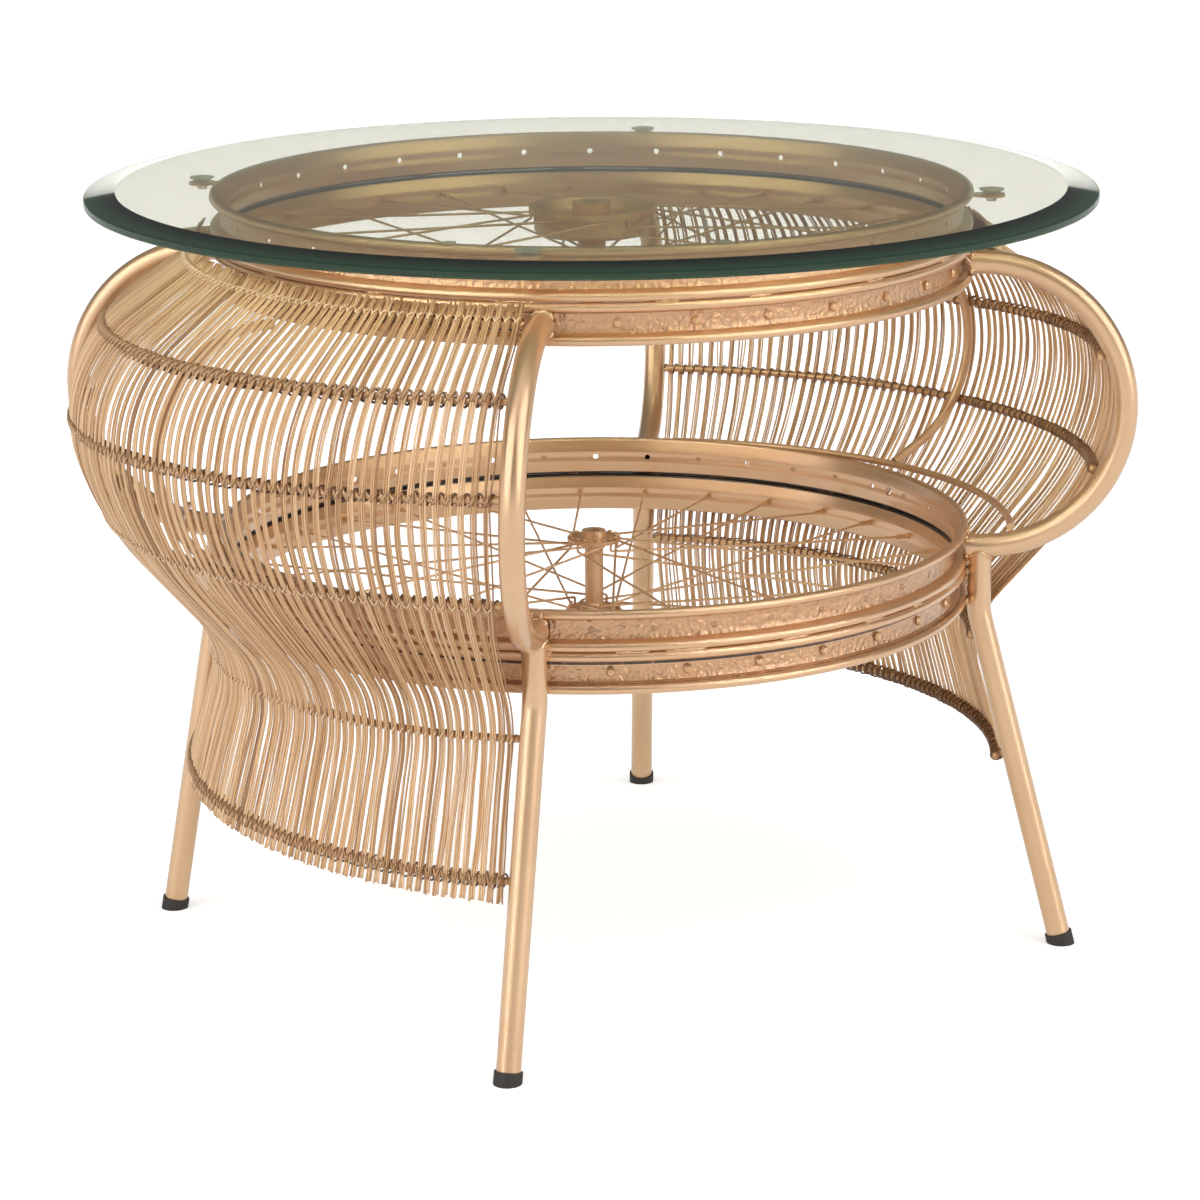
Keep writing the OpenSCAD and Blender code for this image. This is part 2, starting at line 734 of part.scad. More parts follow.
// A round wire swept along a row, from one angle to another, with flat ends
module row_sweep(row, from, to, away, d) {
    pts = [for (i = [0 : row_steps]) row_point(row, from + (to - from) * i / row_steps, away)];
    ring = [for (k = [0 : row_sides - 1]) [cos(360 * k / row_sides), sin(360 * k / row_sides)] * d / 2];
    verts = [
        for (i = [0 : row_steps])
            let(a = from + (to - from) * i / row_steps, out = [cos(a), sin(a), 0])
            for (k = [0 : row_sides - 1]) pts[i] + out * ring[k][0] + [0, 0, ring[k][1]]
    ];
    sides = [
        for (i = [0 : row_steps - 1])
            for (k = [0 : row_sides - 1])
                let(m = (k + 1) % row_sides, p = i * row_sides, q = p + row_sides)
                [p + k, p + m, q + m, q + k]
    ];
    last = row_steps * row_sides;
    first_cap = [[for (k = [row_sides - 1 : -1 : 0]) k]];
    last_cap = [[for (k = [0 : row_sides - 1]) last + k]];
    polyhedron(verts, concat(sides, first_cap, last_cap), convexity = 4);
}

// Distance from the middle of a bow's tube in to the middle of a rod at a height
function rod_inset(z) = bow_r - norm(reed_offset(z, rod_away) - [bow_centre_r, bow_z]);

// Angle by which a rod stops short of a tube that is in its way: one that lies inside the bow runs on past it
function rod_short(z) =
    rod_inset(z) > (tube_d + rod_d) / 2 ? -rod_past :
    asin((tube_d / 2 + tie_gap) / (reed_offset(z, rod_away)[0] - rod_d / 2));

// Angle by which a corner's tube has moved sideways at a height: its leg below, its bow above
function corner_drift(data, z) =
    let(down = max(0, 1 - z / bend_z), foot = data[1] * [cos(data[2]), sin(data[2])])
    z < bend_z ? atan2(down * foot[1], stub_r + down * (foot[0] - stub_r)) :
    atan(max(0, z - bow_low_z) * tan(data[3]) / reed_offset(z, rod_away)[0]);

// One rod for each row, from the corner on the panel's low side to the one on its high side
module rods(middle, rows, low_leg, high_leg) {
    color([0.76, 0.57, 0.4])
        for (row = rows) {
            z = row[0];
            from = middle - 45 + corner_drift(low_leg, z) + rod_short(z);
            to = middle + 45 + corner_drift(high_leg, z) - rod_short(z);
            row_sweep(row, from, to, rod_away, rod_d);
        }
}

module tie_wires(middle, rows, edge, low_leg, high_leg) {
    stop = 45 - edge + wire_past;
    low = side_lean(edge, bow_shift(low_leg));
    high = side_lean(edge, bow_shift(high_leg));
    color([0.62, 0.44, 0.28])
        for (row = rows) {
            from = middle - stop - lean_turn(low, row[0]);
            to = middle + stop + lean_turn(high, row[0]);
            row_sweep(row, from, to, wire_away, wire_d);
        }
}

module left_reeds() { reeds(180, left_edge, left_tips, left_leg_data, front_leg_data); }
module right_reeds() { reeds(0, right_edge, right_tips, right_leg_data, back_leg_data); }
module left_rods() { rods(180, left_rows, left_leg_data, front_leg_data); }
module right_rods() { rods(0, right_rows, right_leg_data, back_leg_data); }
module left_tie_wires() { tie_wires(180, left_rows, left_edge, left_leg_data, front_leg_data); }
module right_tie_wires() { tie_wires(0, right_rows, right_edge, right_leg_data, back_leg_data); }

// Hoop rod behind the waist of a panel: a flat arc, a little tilted. One end lies on the lower arm of the bow
// at the panel's low side, and the other lies against the upper edge of the lower stack
hoop_end_r = rim_r + hoop_reach;
hoop_lift_r = bow_r - (tube_d + hoop_rod_d) / 2 - tie_gap;
hoop_end_z = bow_z - sqrt(pow(hoop_lift_r, 2) - pow(hoop_end_r - bow_centre_r, 2));
hoop_touch_r = rim_r + hoop_rod_d / 2 + tie_gap;
hoop_end = [hoop_end_r * cos(45), -hoop_end_r * sin(45), hoop_end_z];
hoop_touch = [hoop_touch_r * cos(hoop_touch_turn), hoop_touch_r * sin(hoop_touch_turn), lower_bare_z + roll_z];
// The arc's centre lies on the panel's Y axis, as far from one end as from the other
hoop_y = (pow(hoop_end_r, 2) - pow(hoop_touch_r, 2)) / (2 * (hoop_end[1] - hoop_touch[1]));
hoop_r = norm([hoop_end[0], hoop_end[1] - hoop_y]);
hoop_slope = (hoop_touch[2] - hoop_end[2]) / (hoop_touch[1] - hoop_end[1]);

function hoop_z(y) = hoop_end[2] + (y - hoop_end[1]) * hoop_slope;
function hoop_turn(p) = atan2(p[1] - hoop_y, p[0]);

// Upright rod inside the middle of a panel: it follows the bulge and runs straight in to the hoop rod
middle_r = bow_r - reed_inset + rod_away - (rod_d + middle_rod_d) / 2 - tie_gap;

module middle_rod(turn) {
    hoop = [sqrt(pow(hoop_r, 2) - pow(hoop_y, 2)) - bow_centre_r, hoop_z(0) - bow_z];
    low_angle = atan2(hoop[1], hoop[0]) + acos(middle_r / norm(hoop));
    low_l = sqrt(pow(norm(hoop), 2) - pow(middle_r, 2)) - hoop_rod_d / 2 - tie_gap;
    // The upper end reaches in under the rim's edge
    top_angle = 90 + asin((bow_centre_r - bow_end_r) / middle_r);
    color([0.76, 0.57, 0.4])
        rotate([0, 0, turn])
            translate([bow_centre_r, 0, bow_z])
                rotate([90, 0, 0])
                    rotate([0, 0, low_angle]) {
                        rotate_extrude(angle = top_angle - low_angle)
                            translate([middle_r, 0])
                                circle(d = middle_rod_d);
                        translate([middle_r, 0, 0])
                            rotate([90, 0, 0])
                                cylinder(d = middle_rod_d, h = low_l);
                    }
}

module left_middle_rod() { middle_rod(180); }
module right_middle_rod() { middle_rod(0); }

module hoop_rod(turn) {
    color([0.76, 0.57, 0.4])
        rotate([0, 0, turn])
            translate([0, hoop_y, hoop_z(hoop_y)])
                rotate([atan(hoop_slope), 0, 0])
                    rotate([0, 0, hoop_turn(hoop_end)])
                        rotate_extrude(angle = hoop_turn(hoop_touch) - hoop_turn(hoop_end))
                            translate([hoop_r, 0])
                                circle(d = hoop_rod_d);
}

module left_hoop_rod() { hoop_rod(180); }
module right_hoop_rod() { hoop_rod(0); }

glass_top();
suction_cups();
cup_tabs();
clear_bumpers();
upper_bare_rim();
upper_spoked_rim();
upper_drum_hub();
upper_spokes();
upper_nipples();
lower_bare_rim();
lower_spoked_rim();
lower_hub();
lower_spokes();
lower_nipples();
front_leg();
right_leg();
back_leg();
left_leg();
front_foot_cap();
right_foot_cap();
back_foot_cap();
left_foot_cap();
front_bow();
right_bow();
back_bow();
left_bow();
left_reeds();
right_reeds();
left_rods();
right_rods();
left_tie_wires();
right_tie_wires();
left_middle_rod();
right_middle_rod();
left_hoop_rod();
right_hoop_rod();
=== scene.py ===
import math
import random

import bpy
import numpy as np
from mathutils import Matrix, Vector, noise

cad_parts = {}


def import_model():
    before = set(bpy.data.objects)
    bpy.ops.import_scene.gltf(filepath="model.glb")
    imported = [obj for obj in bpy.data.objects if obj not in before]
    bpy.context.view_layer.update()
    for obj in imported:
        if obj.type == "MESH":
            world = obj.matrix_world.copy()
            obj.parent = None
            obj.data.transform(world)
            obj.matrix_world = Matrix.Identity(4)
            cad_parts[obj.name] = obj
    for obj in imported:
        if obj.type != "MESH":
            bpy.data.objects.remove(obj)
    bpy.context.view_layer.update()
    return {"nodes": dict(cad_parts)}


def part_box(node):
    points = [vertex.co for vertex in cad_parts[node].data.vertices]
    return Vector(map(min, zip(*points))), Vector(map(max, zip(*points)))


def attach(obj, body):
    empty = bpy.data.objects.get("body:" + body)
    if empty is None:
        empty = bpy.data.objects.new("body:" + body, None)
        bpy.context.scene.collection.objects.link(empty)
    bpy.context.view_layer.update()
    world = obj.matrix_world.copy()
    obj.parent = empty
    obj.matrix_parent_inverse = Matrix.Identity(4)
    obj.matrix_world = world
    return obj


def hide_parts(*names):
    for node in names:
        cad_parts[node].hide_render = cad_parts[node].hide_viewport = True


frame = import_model()

# Lengths below are millimetres and angles degrees, in the table's own frame: +Z up, the reed panels
# on +X and -X. They become metres when a mesh is made.
MM = 0.001
FRAME_BODY = "frame"


def box_mm(node):
    """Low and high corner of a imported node."""
    low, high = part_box(node)
    return np.array(low) / MM, np.array(high) / MM


def middle_z(node):
    low, high = box_mm(node)
    return (low[2] + high[2]) / 2


# Rims: the gap between two stacked ones, the rolled edges, the channel's depth and the sheet
RIM_NODES = ("upper_bare_rim", "upper_spoked_rim", "lower_bare_rim", "lower_spoked_rim")
RIM_Z = {n: middle_z(n) for n in RIM_NODES}
RIM_R = round(box_mm("upper_bare_rim")[1][0])
STACK_GAP = 0.2
RIM_W = RIM_Z["upper_bare_rim"] - RIM_Z["upper_spoked_rim"] - STACK_GAP
ROLL_R = 3.7
CHANNEL = 8.5
SHEET = 1.5
WELL_R = RIM_R - CHANNEL
INNER_R = WELL_R - SHEET
ROLL_X = RIM_R - ROLL_R
ROLL_Z = RIM_W / 2 - ROLL_R

# Bows: a straight end as long as BOW_STRAIGHT comes before the ring
TUBE_R = 9.5
BOW_Z = middle_z("right_bow")
BOW_R = (box_mm("right_bow")[1][2] - box_mm("right_bow")[0][2]) / 2 - TUBE_R
WELD_GAP = 0.3
BOW_END_R = ROLL_X + math.sqrt((ROLL_R + WELD_GAP) ** 2 - (ROLL_Z - TUBE_R) ** 2)
BOW_STRAIGHT = 9
BOW_CENTRE_R = BOW_END_R + BOW_STRAIGHT
BOW_LOW_Z = BOW_Z - BOW_R
BOW_TOP_Z = BOW_Z + BOW_R

# Legs: an upright stub beside the lower rims, and the bend below them where the leg turns outward
STUB_GAP = 0.5
STUB_R = RIM_R + TUBE_R + STUB_GAP
BEND_DROP = 4.5
BEND_Z = RIM_Z["lower_spoked_rim"] - RIM_W / 2 - BEND_DROP
# Each corner: its direction, the distance and drift of its foot, and the lean of its bow
CORNERS = {
    "front": (225, 370, -2.2, 1.6),
    "right": (315, 384, -1.3, 0),
    "back": (45, 388, 1.9, 2.0),
    "left": (135, 357, 1.8, 0),
}

# Reed panels. A row is its height and its tilt in degrees. ROD_AWAY places the rods behind the reeds
PANEL_HALF = 45
GROUPS = 68
GROUP_W = 5.4
ROD_R = 3.0
REED_HALF = 1.1
TIE_GAP = 0.3
ROD_AWAY = -(REED_HALF + ROD_R + TIE_GAP)
STRAND_TOP = 575.0
PANELS = {
    "left": {
        "middle": 180, "edge": 3.5, "corners": ("left", "front"), "seed": 11, "strands_w": 5.3,
        "rows": [(565.5, 0), (518, 0.75), (447, 1.5), (368, 0.4), (247, 0), (151, -1.5)],
        "tips": (139.5, -2.6),
    },
    "right": {
        "middle": 0, "edge": 2.6, "corners": ("right", "back"), "seed": 12, "strands_w": 4.7,
        "rows": [(565.5, 0), (475.5, 2.1), (388, 0.4), (252, 0), (153, 0)],
        "tips": (150, 0),
    },
}

# Outline of the reeds: the bulge, a wide lower curve, the waist and the slope to the hem
BULGE_INSET = 8.3
BULGE_R = BOW_R - BULGE_INSET
BULGE_TOP = 55
BULGE_LOW = -15
LOWER_R = 200
LOWER_ANGLE = 41
WAIST_R = 309.5
WAIST_BEND = 70
HEM_ANGLE = 16
TIP_OUT = 10
TIP_R = RIM_R + TIP_OUT
# The groups fan out upward: each leans about its point at the middle height
FAN_LOW_Z = 200
FAN_MID_Z = 390
SIDE_GAP = 1.3


def cos(a):
    return math.cos(math.radians(a))


def sin(a):
    return math.sin(math.radians(a))


def tan(a):
    return math.tan(math.radians(a))


def outward(a):
    return np.array([cos(a), sin(a), 0])


def sideways(a):
    return np.array([-sin(a), cos(a), 0])


def up(z):
    return np.array([0, 0, z])


def outline():
    """Corners of the outline, each as radius and height."""
    top = (BOW_CENTRE_R + BULGE_R * cos(BULGE_TOP), BOW_Z + BULGE_R * sin(BULGE_TOP))
    low = (BOW_CENTRE_R + BULGE_R * cos(BULGE_LOW), BOW_Z + BULGE_R * sin(BULGE_LOW))
    centre = (low[0] - LOWER_R * cos(BULGE_LOW), low[1] - LOWER_R * sin(BULGE_LOW))
    end = (centre[0] + LOWER_R * cos(LOWER_ANGLE), centre[1] - LOWER_R * sin(LOWER_ANGLE))
    waist_centre = WAIST_R + WAIST_BEND
    waist_top_r = waist_centre - WAIST_BEND * cos(LOWER_ANGLE)
    waist_top_z = end[1] - (end[0] - waist_top_r) / tan(LOWER_ANGLE)
    waist_z = waist_top_z - WAIST_BEND * sin(LOWER_ANGLE)
    return top, low, centre, end, waist_centre, waist_top_z, waist_z


O_TOP, O_LOW, O_CENTRE, O_END, O_WAIST_CENTRE, O_WAIST_TOP, O_WAIST_Z = outline()


def reed_r(z):
    """Radius of the reeds' middle at a height."""
    if z > O_TOP[1]:
        return max(TIP_R, O_TOP[0] - (z - O_TOP[1]) * tan(BULGE_TOP))
    if z > O_LOW[1]:
        return BOW_CENTRE_R + math.sqrt(BULGE_R ** 2 - (z - BOW_Z) ** 2)
    if z > O_END[1]:
        return O_CENTRE[0] + math.sqrt(LOWER_R ** 2 - (z - O_CENTRE[1]) ** 2)
    if z > O_WAIST_TOP:
        return O_END[0] - (O_END[1] - z) * tan(LOWER_ANGLE)
    low_z = O_WAIST_Z - WAIST_BEND * sin(HEM_ANGLE)
    if z > low_z:
        return O_WAIST_CENTRE - math.sqrt(WAIST_BEND ** 2 - (z - O_WAIST_Z) ** 2)
    return O_WAIST_CENTRE - WAIST_BEND * cos(HEM_ANGLE) + (low_z - z) * tan(HEM_ANGLE)


# Table of the outline, whose corners are eased a little, as a bent reed eases them
STEP_Z = 2.0
TABLE_LOW = 100
TABLE_TOP = 600
EASE_PASSES = 3
TABLE_Z = np.arange(TABLE_LOW, TABLE_TOP, STEP_Z)
TABLE_R = np.array([reed_r(z) for z in TABLE_Z])
for _ in range(EASE_PASSES):
    TABLE_R[1:-1] = (TABLE_R[:-2] + 2 * TABLE_R[1:-1] + TABLE_R[2:]) / 4


def surface(z, away=0.0, along=0.0):
    """Radius and height of points off the reeds' middle, then the slope there as two shares of one.
    away is outward and along is upward."""
    z = np.asarray(z, float)
    r = np.interp(z, TABLE_Z, TABLE_R)
    slope = (np.interp(z + STEP_Z, TABLE_Z, TABLE_R) - np.interp(z - STEP_Z, TABLE_Z, TABLE_R)) / (2 * STEP_Z)
    n = np.sqrt(1 + slope ** 2)
    return r + (away + along * slope) / n, z + (along - away * slope) / n, slope / n, 1 / n


def row_z(row, a):
    """Height of a row at an angle round the axis."""
    return row[0] - reed_r(row[0]) * np.sin(np.radians(a)) * tan(row[1])


def on_panel(a, r, z):
    """Points from angle, radius and height."""
    a = np.radians(a)
    return np.stack([r * np.cos(a), r * np.sin(a), z + 0 * a], axis=-1)


def add_object(name, data):
    """A new object in the scene."""
    piece = bpy.data.objects.new(name, data)
    bpy.context.scene.collection.objects.link(piece)
    return piece


def set_tone(mesh, tone):
    """Gives a mesh the tone of each vertex."""
    if "tone" in mesh.attributes:
        mesh.attributes.remove(mesh.attributes["tone"])
    attribute = mesh.attributes.new("tone", "FLOAT", "POINT")
    attribute.data.foreach_set("value", tone)


def vertices_mm(mesh):
    co = np.empty(len(mesh.vertices) * 3)
    mesh.vertices.foreach_get("co", co)
    return co.reshape(-1, 3) / MM


class Shape:
    """Gathers vertices, faces and a tone for each vertex, then makes one mesh of them."""

    def __init__(self):
        self.verts, self.faces, self.tones, self.count = [], [], [], 0

    def add(self, verts, faces, tone=0.5):
        verts = np.asarray(verts, float).reshape(-1, 3)
        self.verts.append(verts)
        for f in faces:
            self.faces.append(np.asarray(f, int) + self.count)
        self.tones.append(np.broadcast_to(np.asarray(tone, float), (len(verts),)))
        self.count += len(verts)

    def make(self, name, material, body=FRAME_BODY, replaces=(), sharp=None):
        mesh = bpy.data.meshes.new(name)
        verts = np.concatenate(self.verts) * MM
        mesh.vertices.add(len(verts))
        mesh.vertices.foreach_set("co", verts.ravel())
        totals = np.concatenate([np.full(len(f), f.shape[1]) for f in self.faces])
        loops = np.concatenate([f.ravel() for f in self.faces])
        mesh.loops.add(len(loops))
        mesh.loops.foreach_set("vertex_index", loops)
        mesh.polygons.add(len(totals))
        mesh.polygons.foreach_set("loop_start", np.concatenate([[0], np.cumsum(totals)[:-1]]))
        mesh.polygons.foreach_set("loop_total", totals)
        mesh.polygons.foreach_set("use_smooth", np.ones(len(totals), bool))
        mesh.update(calc_edges=True)
        set_tone(mesh, np.concatenate(self.tones))
        if sharp:
            mesh.set_sharp_from_angle(angle=math.radians(sharp))
        mesh.materials.append(material)
        return dress(add_object(name, mesh), body, replaces)


def dress(piece, body, replaces):
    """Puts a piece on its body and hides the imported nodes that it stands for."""
    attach(piece, body)
    if replaces:
        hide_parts(*replaces)
    return piece


def tube(shape, points, out, radius, sides=8, tone=0.5, closed=False):
    """Sweeps a round section along points. out is roughly sideways at each point."""
    p = np.asarray(points, float)
    count = len(p)
    if closed:
        t = np.roll(p, -1, 0) - np.roll(p, 1, 0)
    else:
        t = np.gradient(p, axis=0)
    t /= np.linalg.norm(t, axis=1, keepdims=True)
    u = np.broadcast_to(np.asarray(out, float), p.shape)
    u = u - (u * t).sum(1, keepdims=True) * t
    u /= np.linalg.norm(u, axis=1, keepdims=True)
    v = np.cross(t, u)
    ring = np.arange(sides) * 2 * math.pi / sides
    radius = np.broadcast_to(np.asarray(radius, float), (count,))[:, None, None]
    around = np.cos(ring)[None, :, None] * u[:, None] + np.sin(ring)[None, :, None] * v[:, None]
    verts = (p[:, None] + radius * around).reshape(-1, 3)
    k = np.arange(sides)
    spans = count if closed else count - 1
    base = np.arange(spans)[:, None] * sides
    nxt = (np.arange(spans)[:, None] + 1) % count * sides
    quads = np.stack([base + k, base + (k + 1) % sides, nxt + (k + 1) % sides, nxt + k], axis=-1)
    faces = [quads.reshape(-1, 4)]
    if not closed:
        faces.append(k[::-1][None])
        faces.append((k + (count - 1) * sides)[None])
    shape.add(verts, faces, tone)


def turned(shape, profile, segments, at, loop=False, lump=None):
    """Turns a profile of radius and height round a vertical axis. lump gives further radius. A profile
    that isn't a loop is closed at each end by one face."""
    prof = np.asarray(profile, float)
    n = len(prof)
    a = np.arange(segments) * 2 * math.pi / segments
    r = np.broadcast_to(prof[None, :, 0], (segments, n)).copy()
    z = np.broadcast_to(prof[None, :, 1], (segments, n)).copy()
    if lump is not None:
        r += lump(a, prof)
    verts = np.stack([at[0] + r * np.cos(a)[:, None], at[1] + r * np.sin(a)[:, None], at[2] + z], axis=-1)
    j = np.arange(n if loop else n - 1)
    i = np.arange(segments)[:, None]
    i2 = (i + 1) % segments
    j2 = (j + 1) % n
    quads = np.stack([i * n + j, i2 * n + j, i2 * n + j2, i * n + j2], axis=-1)
    faces = [quads.reshape(-1, 4)]
    if not loop:
        ring = np.arange(segments) * n
        faces.append(ring[::-1][None])
        faces.append((ring + n - 1)[None])
    shape.add(verts, faces)


def arc(centre, radius, start, end, steps):
    """Points of an arc in a profile, as radius and height."""
    return [(centre[0] + radius * cos(start + (end - start) * i / steps),
             centre[1] + radius * sin(start + (end - start) * i / steps)) for i in range(steps + 1)]


# Materials


def new_material(name):
    mat = bpy.data.materials.new(name)
    mat.use_nodes = True
    tree = mat.node_tree
    tree.nodes.clear()
    out = tree.nodes.new("ShaderNodeOutputMaterial")
    return mat, tree, out


def link(tree, a, a_socket, b, b_socket):
    tree.links.new(a.outputs[a_socket], b.inputs[b_socket])


def put(node, values):
    """Gives a node's inputs their values by name."""
    for name, value in values.items():
        node.inputs[name].default_value = value


def shaded(name):
    """A material with one main shader, and the object's own coordinates for its noises."""
    mat, tree, out = new_material(name)
    shader = tree.nodes.new("ShaderNodeBsdfPrincipled")
    link(tree, shader, "BSDF", out, "Surface")
    return mat, tree, shader, tree.nodes.new("ShaderNodeTexCoord")


def tone_node(tree):
    """The mesh's own tone."""
    tone = tree.nodes.new("ShaderNodeAttribute")
    tone.attribute_name = "tone"
    return tone


def math_node(tree, operation, second=None):
    """A sum of two or three numbers, of which the second may be fixed."""
    result = tree.nodes.new("ShaderNodeMath")
    result.operation = operation
    if second is not None:
        result.inputs[1].default_value = second
    return result


def noise_node(tree, coords, scale, detail):
    tex = tree.nodes.new("ShaderNodeTexNoise")
    put(tex, {"Scale": scale, "Detail": detail})
    link(tree, coords, "Object", tex, "Vector")
    return tex


def colour_by(tree, source, socket, stops, shader):
    """Gives a shader colours along a number. Each stop is a place and a colour."""
    ramp = tree.nodes.new("ShaderNodeValToRGB")
    while len(ramp.color_ramp.elements) < len(stops):
        ramp.color_ramp.elements.new(0.5)
    for element, (place, colour) in zip(ramp.color_ramp.elements, stops):
        element.position = place
        element.color = (*colour, 1)
    link(tree, source, socket, ramp, "Fac")
    link(tree, ramp, "Color", shader, "Base Color")


def bump_node(tree, source, distance, strength, before=None):
    bump = tree.nodes.new("ShaderNodeBump")
    put(bump, {"Distance": distance, "Strength": strength})
    link(tree, source, "Fac", bump, "Height")
    if before:
        link(tree, before, "Normal", bump, "Normal")
    return bump


def map_range(tree, source, socket, before, after=(0.0, 1.0)):
    """Takes a number from one range to another."""
    span = tree.nodes.new("ShaderNodeMapRange")
    put(span, {"From Min": before[0], "From Max": before[1], "To Min": after[0], "To Max": after[1]})
    link(tree, source, socket, span, "Value")
    return span


# The range that most of a noise's values lie in
NOISE_RANGE = (0.3, 0.7)


def roughness_by(tree, source, rough, shader):
    """Gives a shader a range of roughness along a noise."""
    link(tree, map_range(tree, source, "Fac", NOISE_RANGE, rough), "Result", shader, "Roughness")


COAT_ROUGHNESS = 0.22
COAT_IOR = 1.7


def coated(shader, metallic, coat):
    """Satin metal paint under a clear coat."""
    put(shader, {"Metallic": metallic, "Coat Weight": coat})
    put(shader, {"Coat Roughness": COAT_ROUGHNESS, "Coat IOR": COAT_IOR})


# Scale of the paint's fine grain and its depth in metres, and the scale of the drift of a toned paint
GRAIN = 1400
GRAIN_DEPTH = 0.00004
DRIFT = 18


def paint(name, colours, rough, metallic=0.6, coat=0.6, lumps=None, patch=14):
    """Copper paint: a slow drift of colour, an even fine grain and, where it is rough, lumps. rough is
    the range of its roughness, lumps their noise scale and depth, and patch the drift's scale."""
    mat, tree, shader, coords = shaded(name)
    patches = noise_node(tree, coords, patch, 3)
    dark, mid, light = colours
    colour_by(tree, patches, "Fac", [(0.25, dark), (0.5, mid), (0.75, light)], shader)
    fine = noise_node(tree, coords, GRAIN, 2)
    bump = bump_node(tree, fine, GRAIN_DEPTH, 0.5)
    if lumps:
        coarse = noise_node(tree, coords, lumps[0], 2.5)
        bump = bump_node(tree, coarse, lumps[1], 1.0, bump)
    link(tree, bump, "Normal", shader, "Normal")
    roughness_by(tree, patches, rough, shader)
    coated(shader, metallic, coat)
    return mat


def toned_paint(name, stops, rough, metallic, coat, bump_scale, bump_depth, rough_part=None, speckle=0.1):
    """Paint whose colour follows the mesh's own tone with some speckle. Where rough_part is given, as
    a low and a high tone, the bumps grow from one to the other; otherwise they are the same all over."""
    mat, tree, shader, coords = shaded(name)
    tone = tone_node(tree)
    speck = noise_node(tree, coords, bump_scale, 1.2)
    mix = math_node(tree, "MULTIPLY_ADD", speckle)
    link(tree, speck, "Fac", mix, 0)
    link(tree, tone, "Fac", mix, 2)
    colour_by(tree, mix, "Value", stops, shader)
    bump = bump_node(tree, speck, bump_depth, 1.0)
    if rough_part:
        link(tree, map_range(tree, tone, "Fac", rough_part), "Result", bump, "Strength")
    link(tree, bump, "Normal", shader, "Normal")
    roughness_by(tree, noise_node(tree, coords, DRIFT, 2), rough, shader)
    coated(shader, metallic, coat)
    return mat


# Glass: what a look through it is tinted with, what plain light keeps, its edge, and its own body
GLASS_TINT = (1.0, 1.0, 0.76, 1)
GLASS_SHADE = (0.93, 0.96, 0.93, 1)
GLASS_EDGE = (0.08, 0.165, 0.10, 1)
GLASS_BODY = (0.52, 0.66, 0.20, 1)
GLASS_DENSITY = 7.0
GLASS_IOR = 1.5


def glass_material():
    """Clear glass whose green shows at the edge, by the mesh's own tone. It lets plain light through to
    what stands below."""
    mat, tree, out = new_material("glass_clear")
    shader = tree.nodes.new("ShaderNodeBsdfPrincipled")
    put(shader, {"Base Color": GLASS_TINT, "Roughness": 0.0, "IOR": GLASS_IOR, "Transmission Weight": 1.0})
    through = tree.nodes.new("ShaderNodeBsdfTransparent")
    put(through, {"Color": GLASS_SHADE})
    path = tree.nodes.new("ShaderNodeLightPath")
    either = math_node(tree, "MAXIMUM")
    link(tree, path, "Is Shadow Ray", either, 0)
    link(tree, path, "Is Diffuse Ray", either, 1)
    edge = tree.nodes.new("ShaderNodeBsdfDiffuse")
    put(edge, {"Color": GLASS_EDGE})
    tint = tree.nodes.new("ShaderNodeMixShader")
    link(tree, tone_node(tree), "Fac", tint, 0)
    link(tree, shader, "BSDF", tint, 1)
    link(tree, edge, "BSDF", tint, 2)
    mix = tree.nodes.new("ShaderNodeMixShader")
    link(tree, either, "Value", mix, 0)
    link(tree, tint, "Shader", mix, 1)
    link(tree, through, "BSDF", mix, 2)
    link(tree, mix, "Shader", out, "Surface")
    inside = tree.nodes.new("ShaderNodeVolumeAbsorption")
    put(inside, {"Color": GLASS_BODY, "Density": GLASS_DENSITY})
    link(tree, inside, "Volume", out, "Volume")
    return mat


def soft_clear(name):
    """Clear soft plastic, a little cloudy."""
    mat, tree, shader, coords = shaded(name)
    cloud = noise_node(tree, coords, 260, 3)
    colour_by(tree, cloud, "Fac", [(0.3, (0.70, 0.72, 0.66)), (0.7, (0.90, 0.92, 0.88))], shader)
    roughness_by(tree, cloud, (0.12, 0.3), shader)
    put(shader, {"Transmission Weight": 0.7})
    return mat


def rubber_material():
    """Dark rubber with a fine grit."""
    mat, tree, shader, coords = shaded("foot_rubber")
    grit = noise_node(tree, coords, 700, 3)
    colour_by(tree, grit, "Fac", [(0.3, (0.016, 0.013, 0.011)), (0.75, (0.05, 0.042, 0.036))], shader)
    link(tree, bump_node(tree, grit, 0.0002, 0.7), "Normal", shader, "Normal")
    roughness_by(tree, grit, (0.5, 0.75), shader)
    return mat


# Copper paint, each as its dark, middle and light colour
COPPER = ((0.64, 0.365, 0.178), (0.69, 0.41, 0.205), (0.74, 0.455, 0.235))
COPPER_PALE = ((0.72, 0.44, 0.232), (0.755, 0.475, 0.256), (0.79, 0.51, 0.28))
# A darker copper for the filled holes: painted shade of their dimples
COPPER_DIMPLE_SHADE = ((0.39, 0.20, 0.09), (0.50, 0.275, 0.13), (0.60, 0.355, 0.182))
# Colours by tone: painted shade in the crevices, smooth sheet and rough channel
RIM_STOPS = [(0.05, (0.03, 0.012, 0.005)), (0.36, (0.46, 0.25, 0.12)), (0.48, (0.76, 0.465, 0.25)),
             (0.85, (0.72, 0.42, 0.215)), (1.0, (0.65, 0.36, 0.175))]
REED_STOPS = [(0.15, (0.36, 0.175, 0.068)), (0.55, (0.71, 0.435, 0.218)), (0.95, (0.88, 0.62, 0.375))]
# The wire's darkest colours are the painted shade where it passes between the reeds
WIRE_STOPS = [(0.1, (0.13, 0.055, 0.018)), (0.55, (0.50, 0.285, 0.135)), (1.0, (0.86, 0.62, 0.385))]

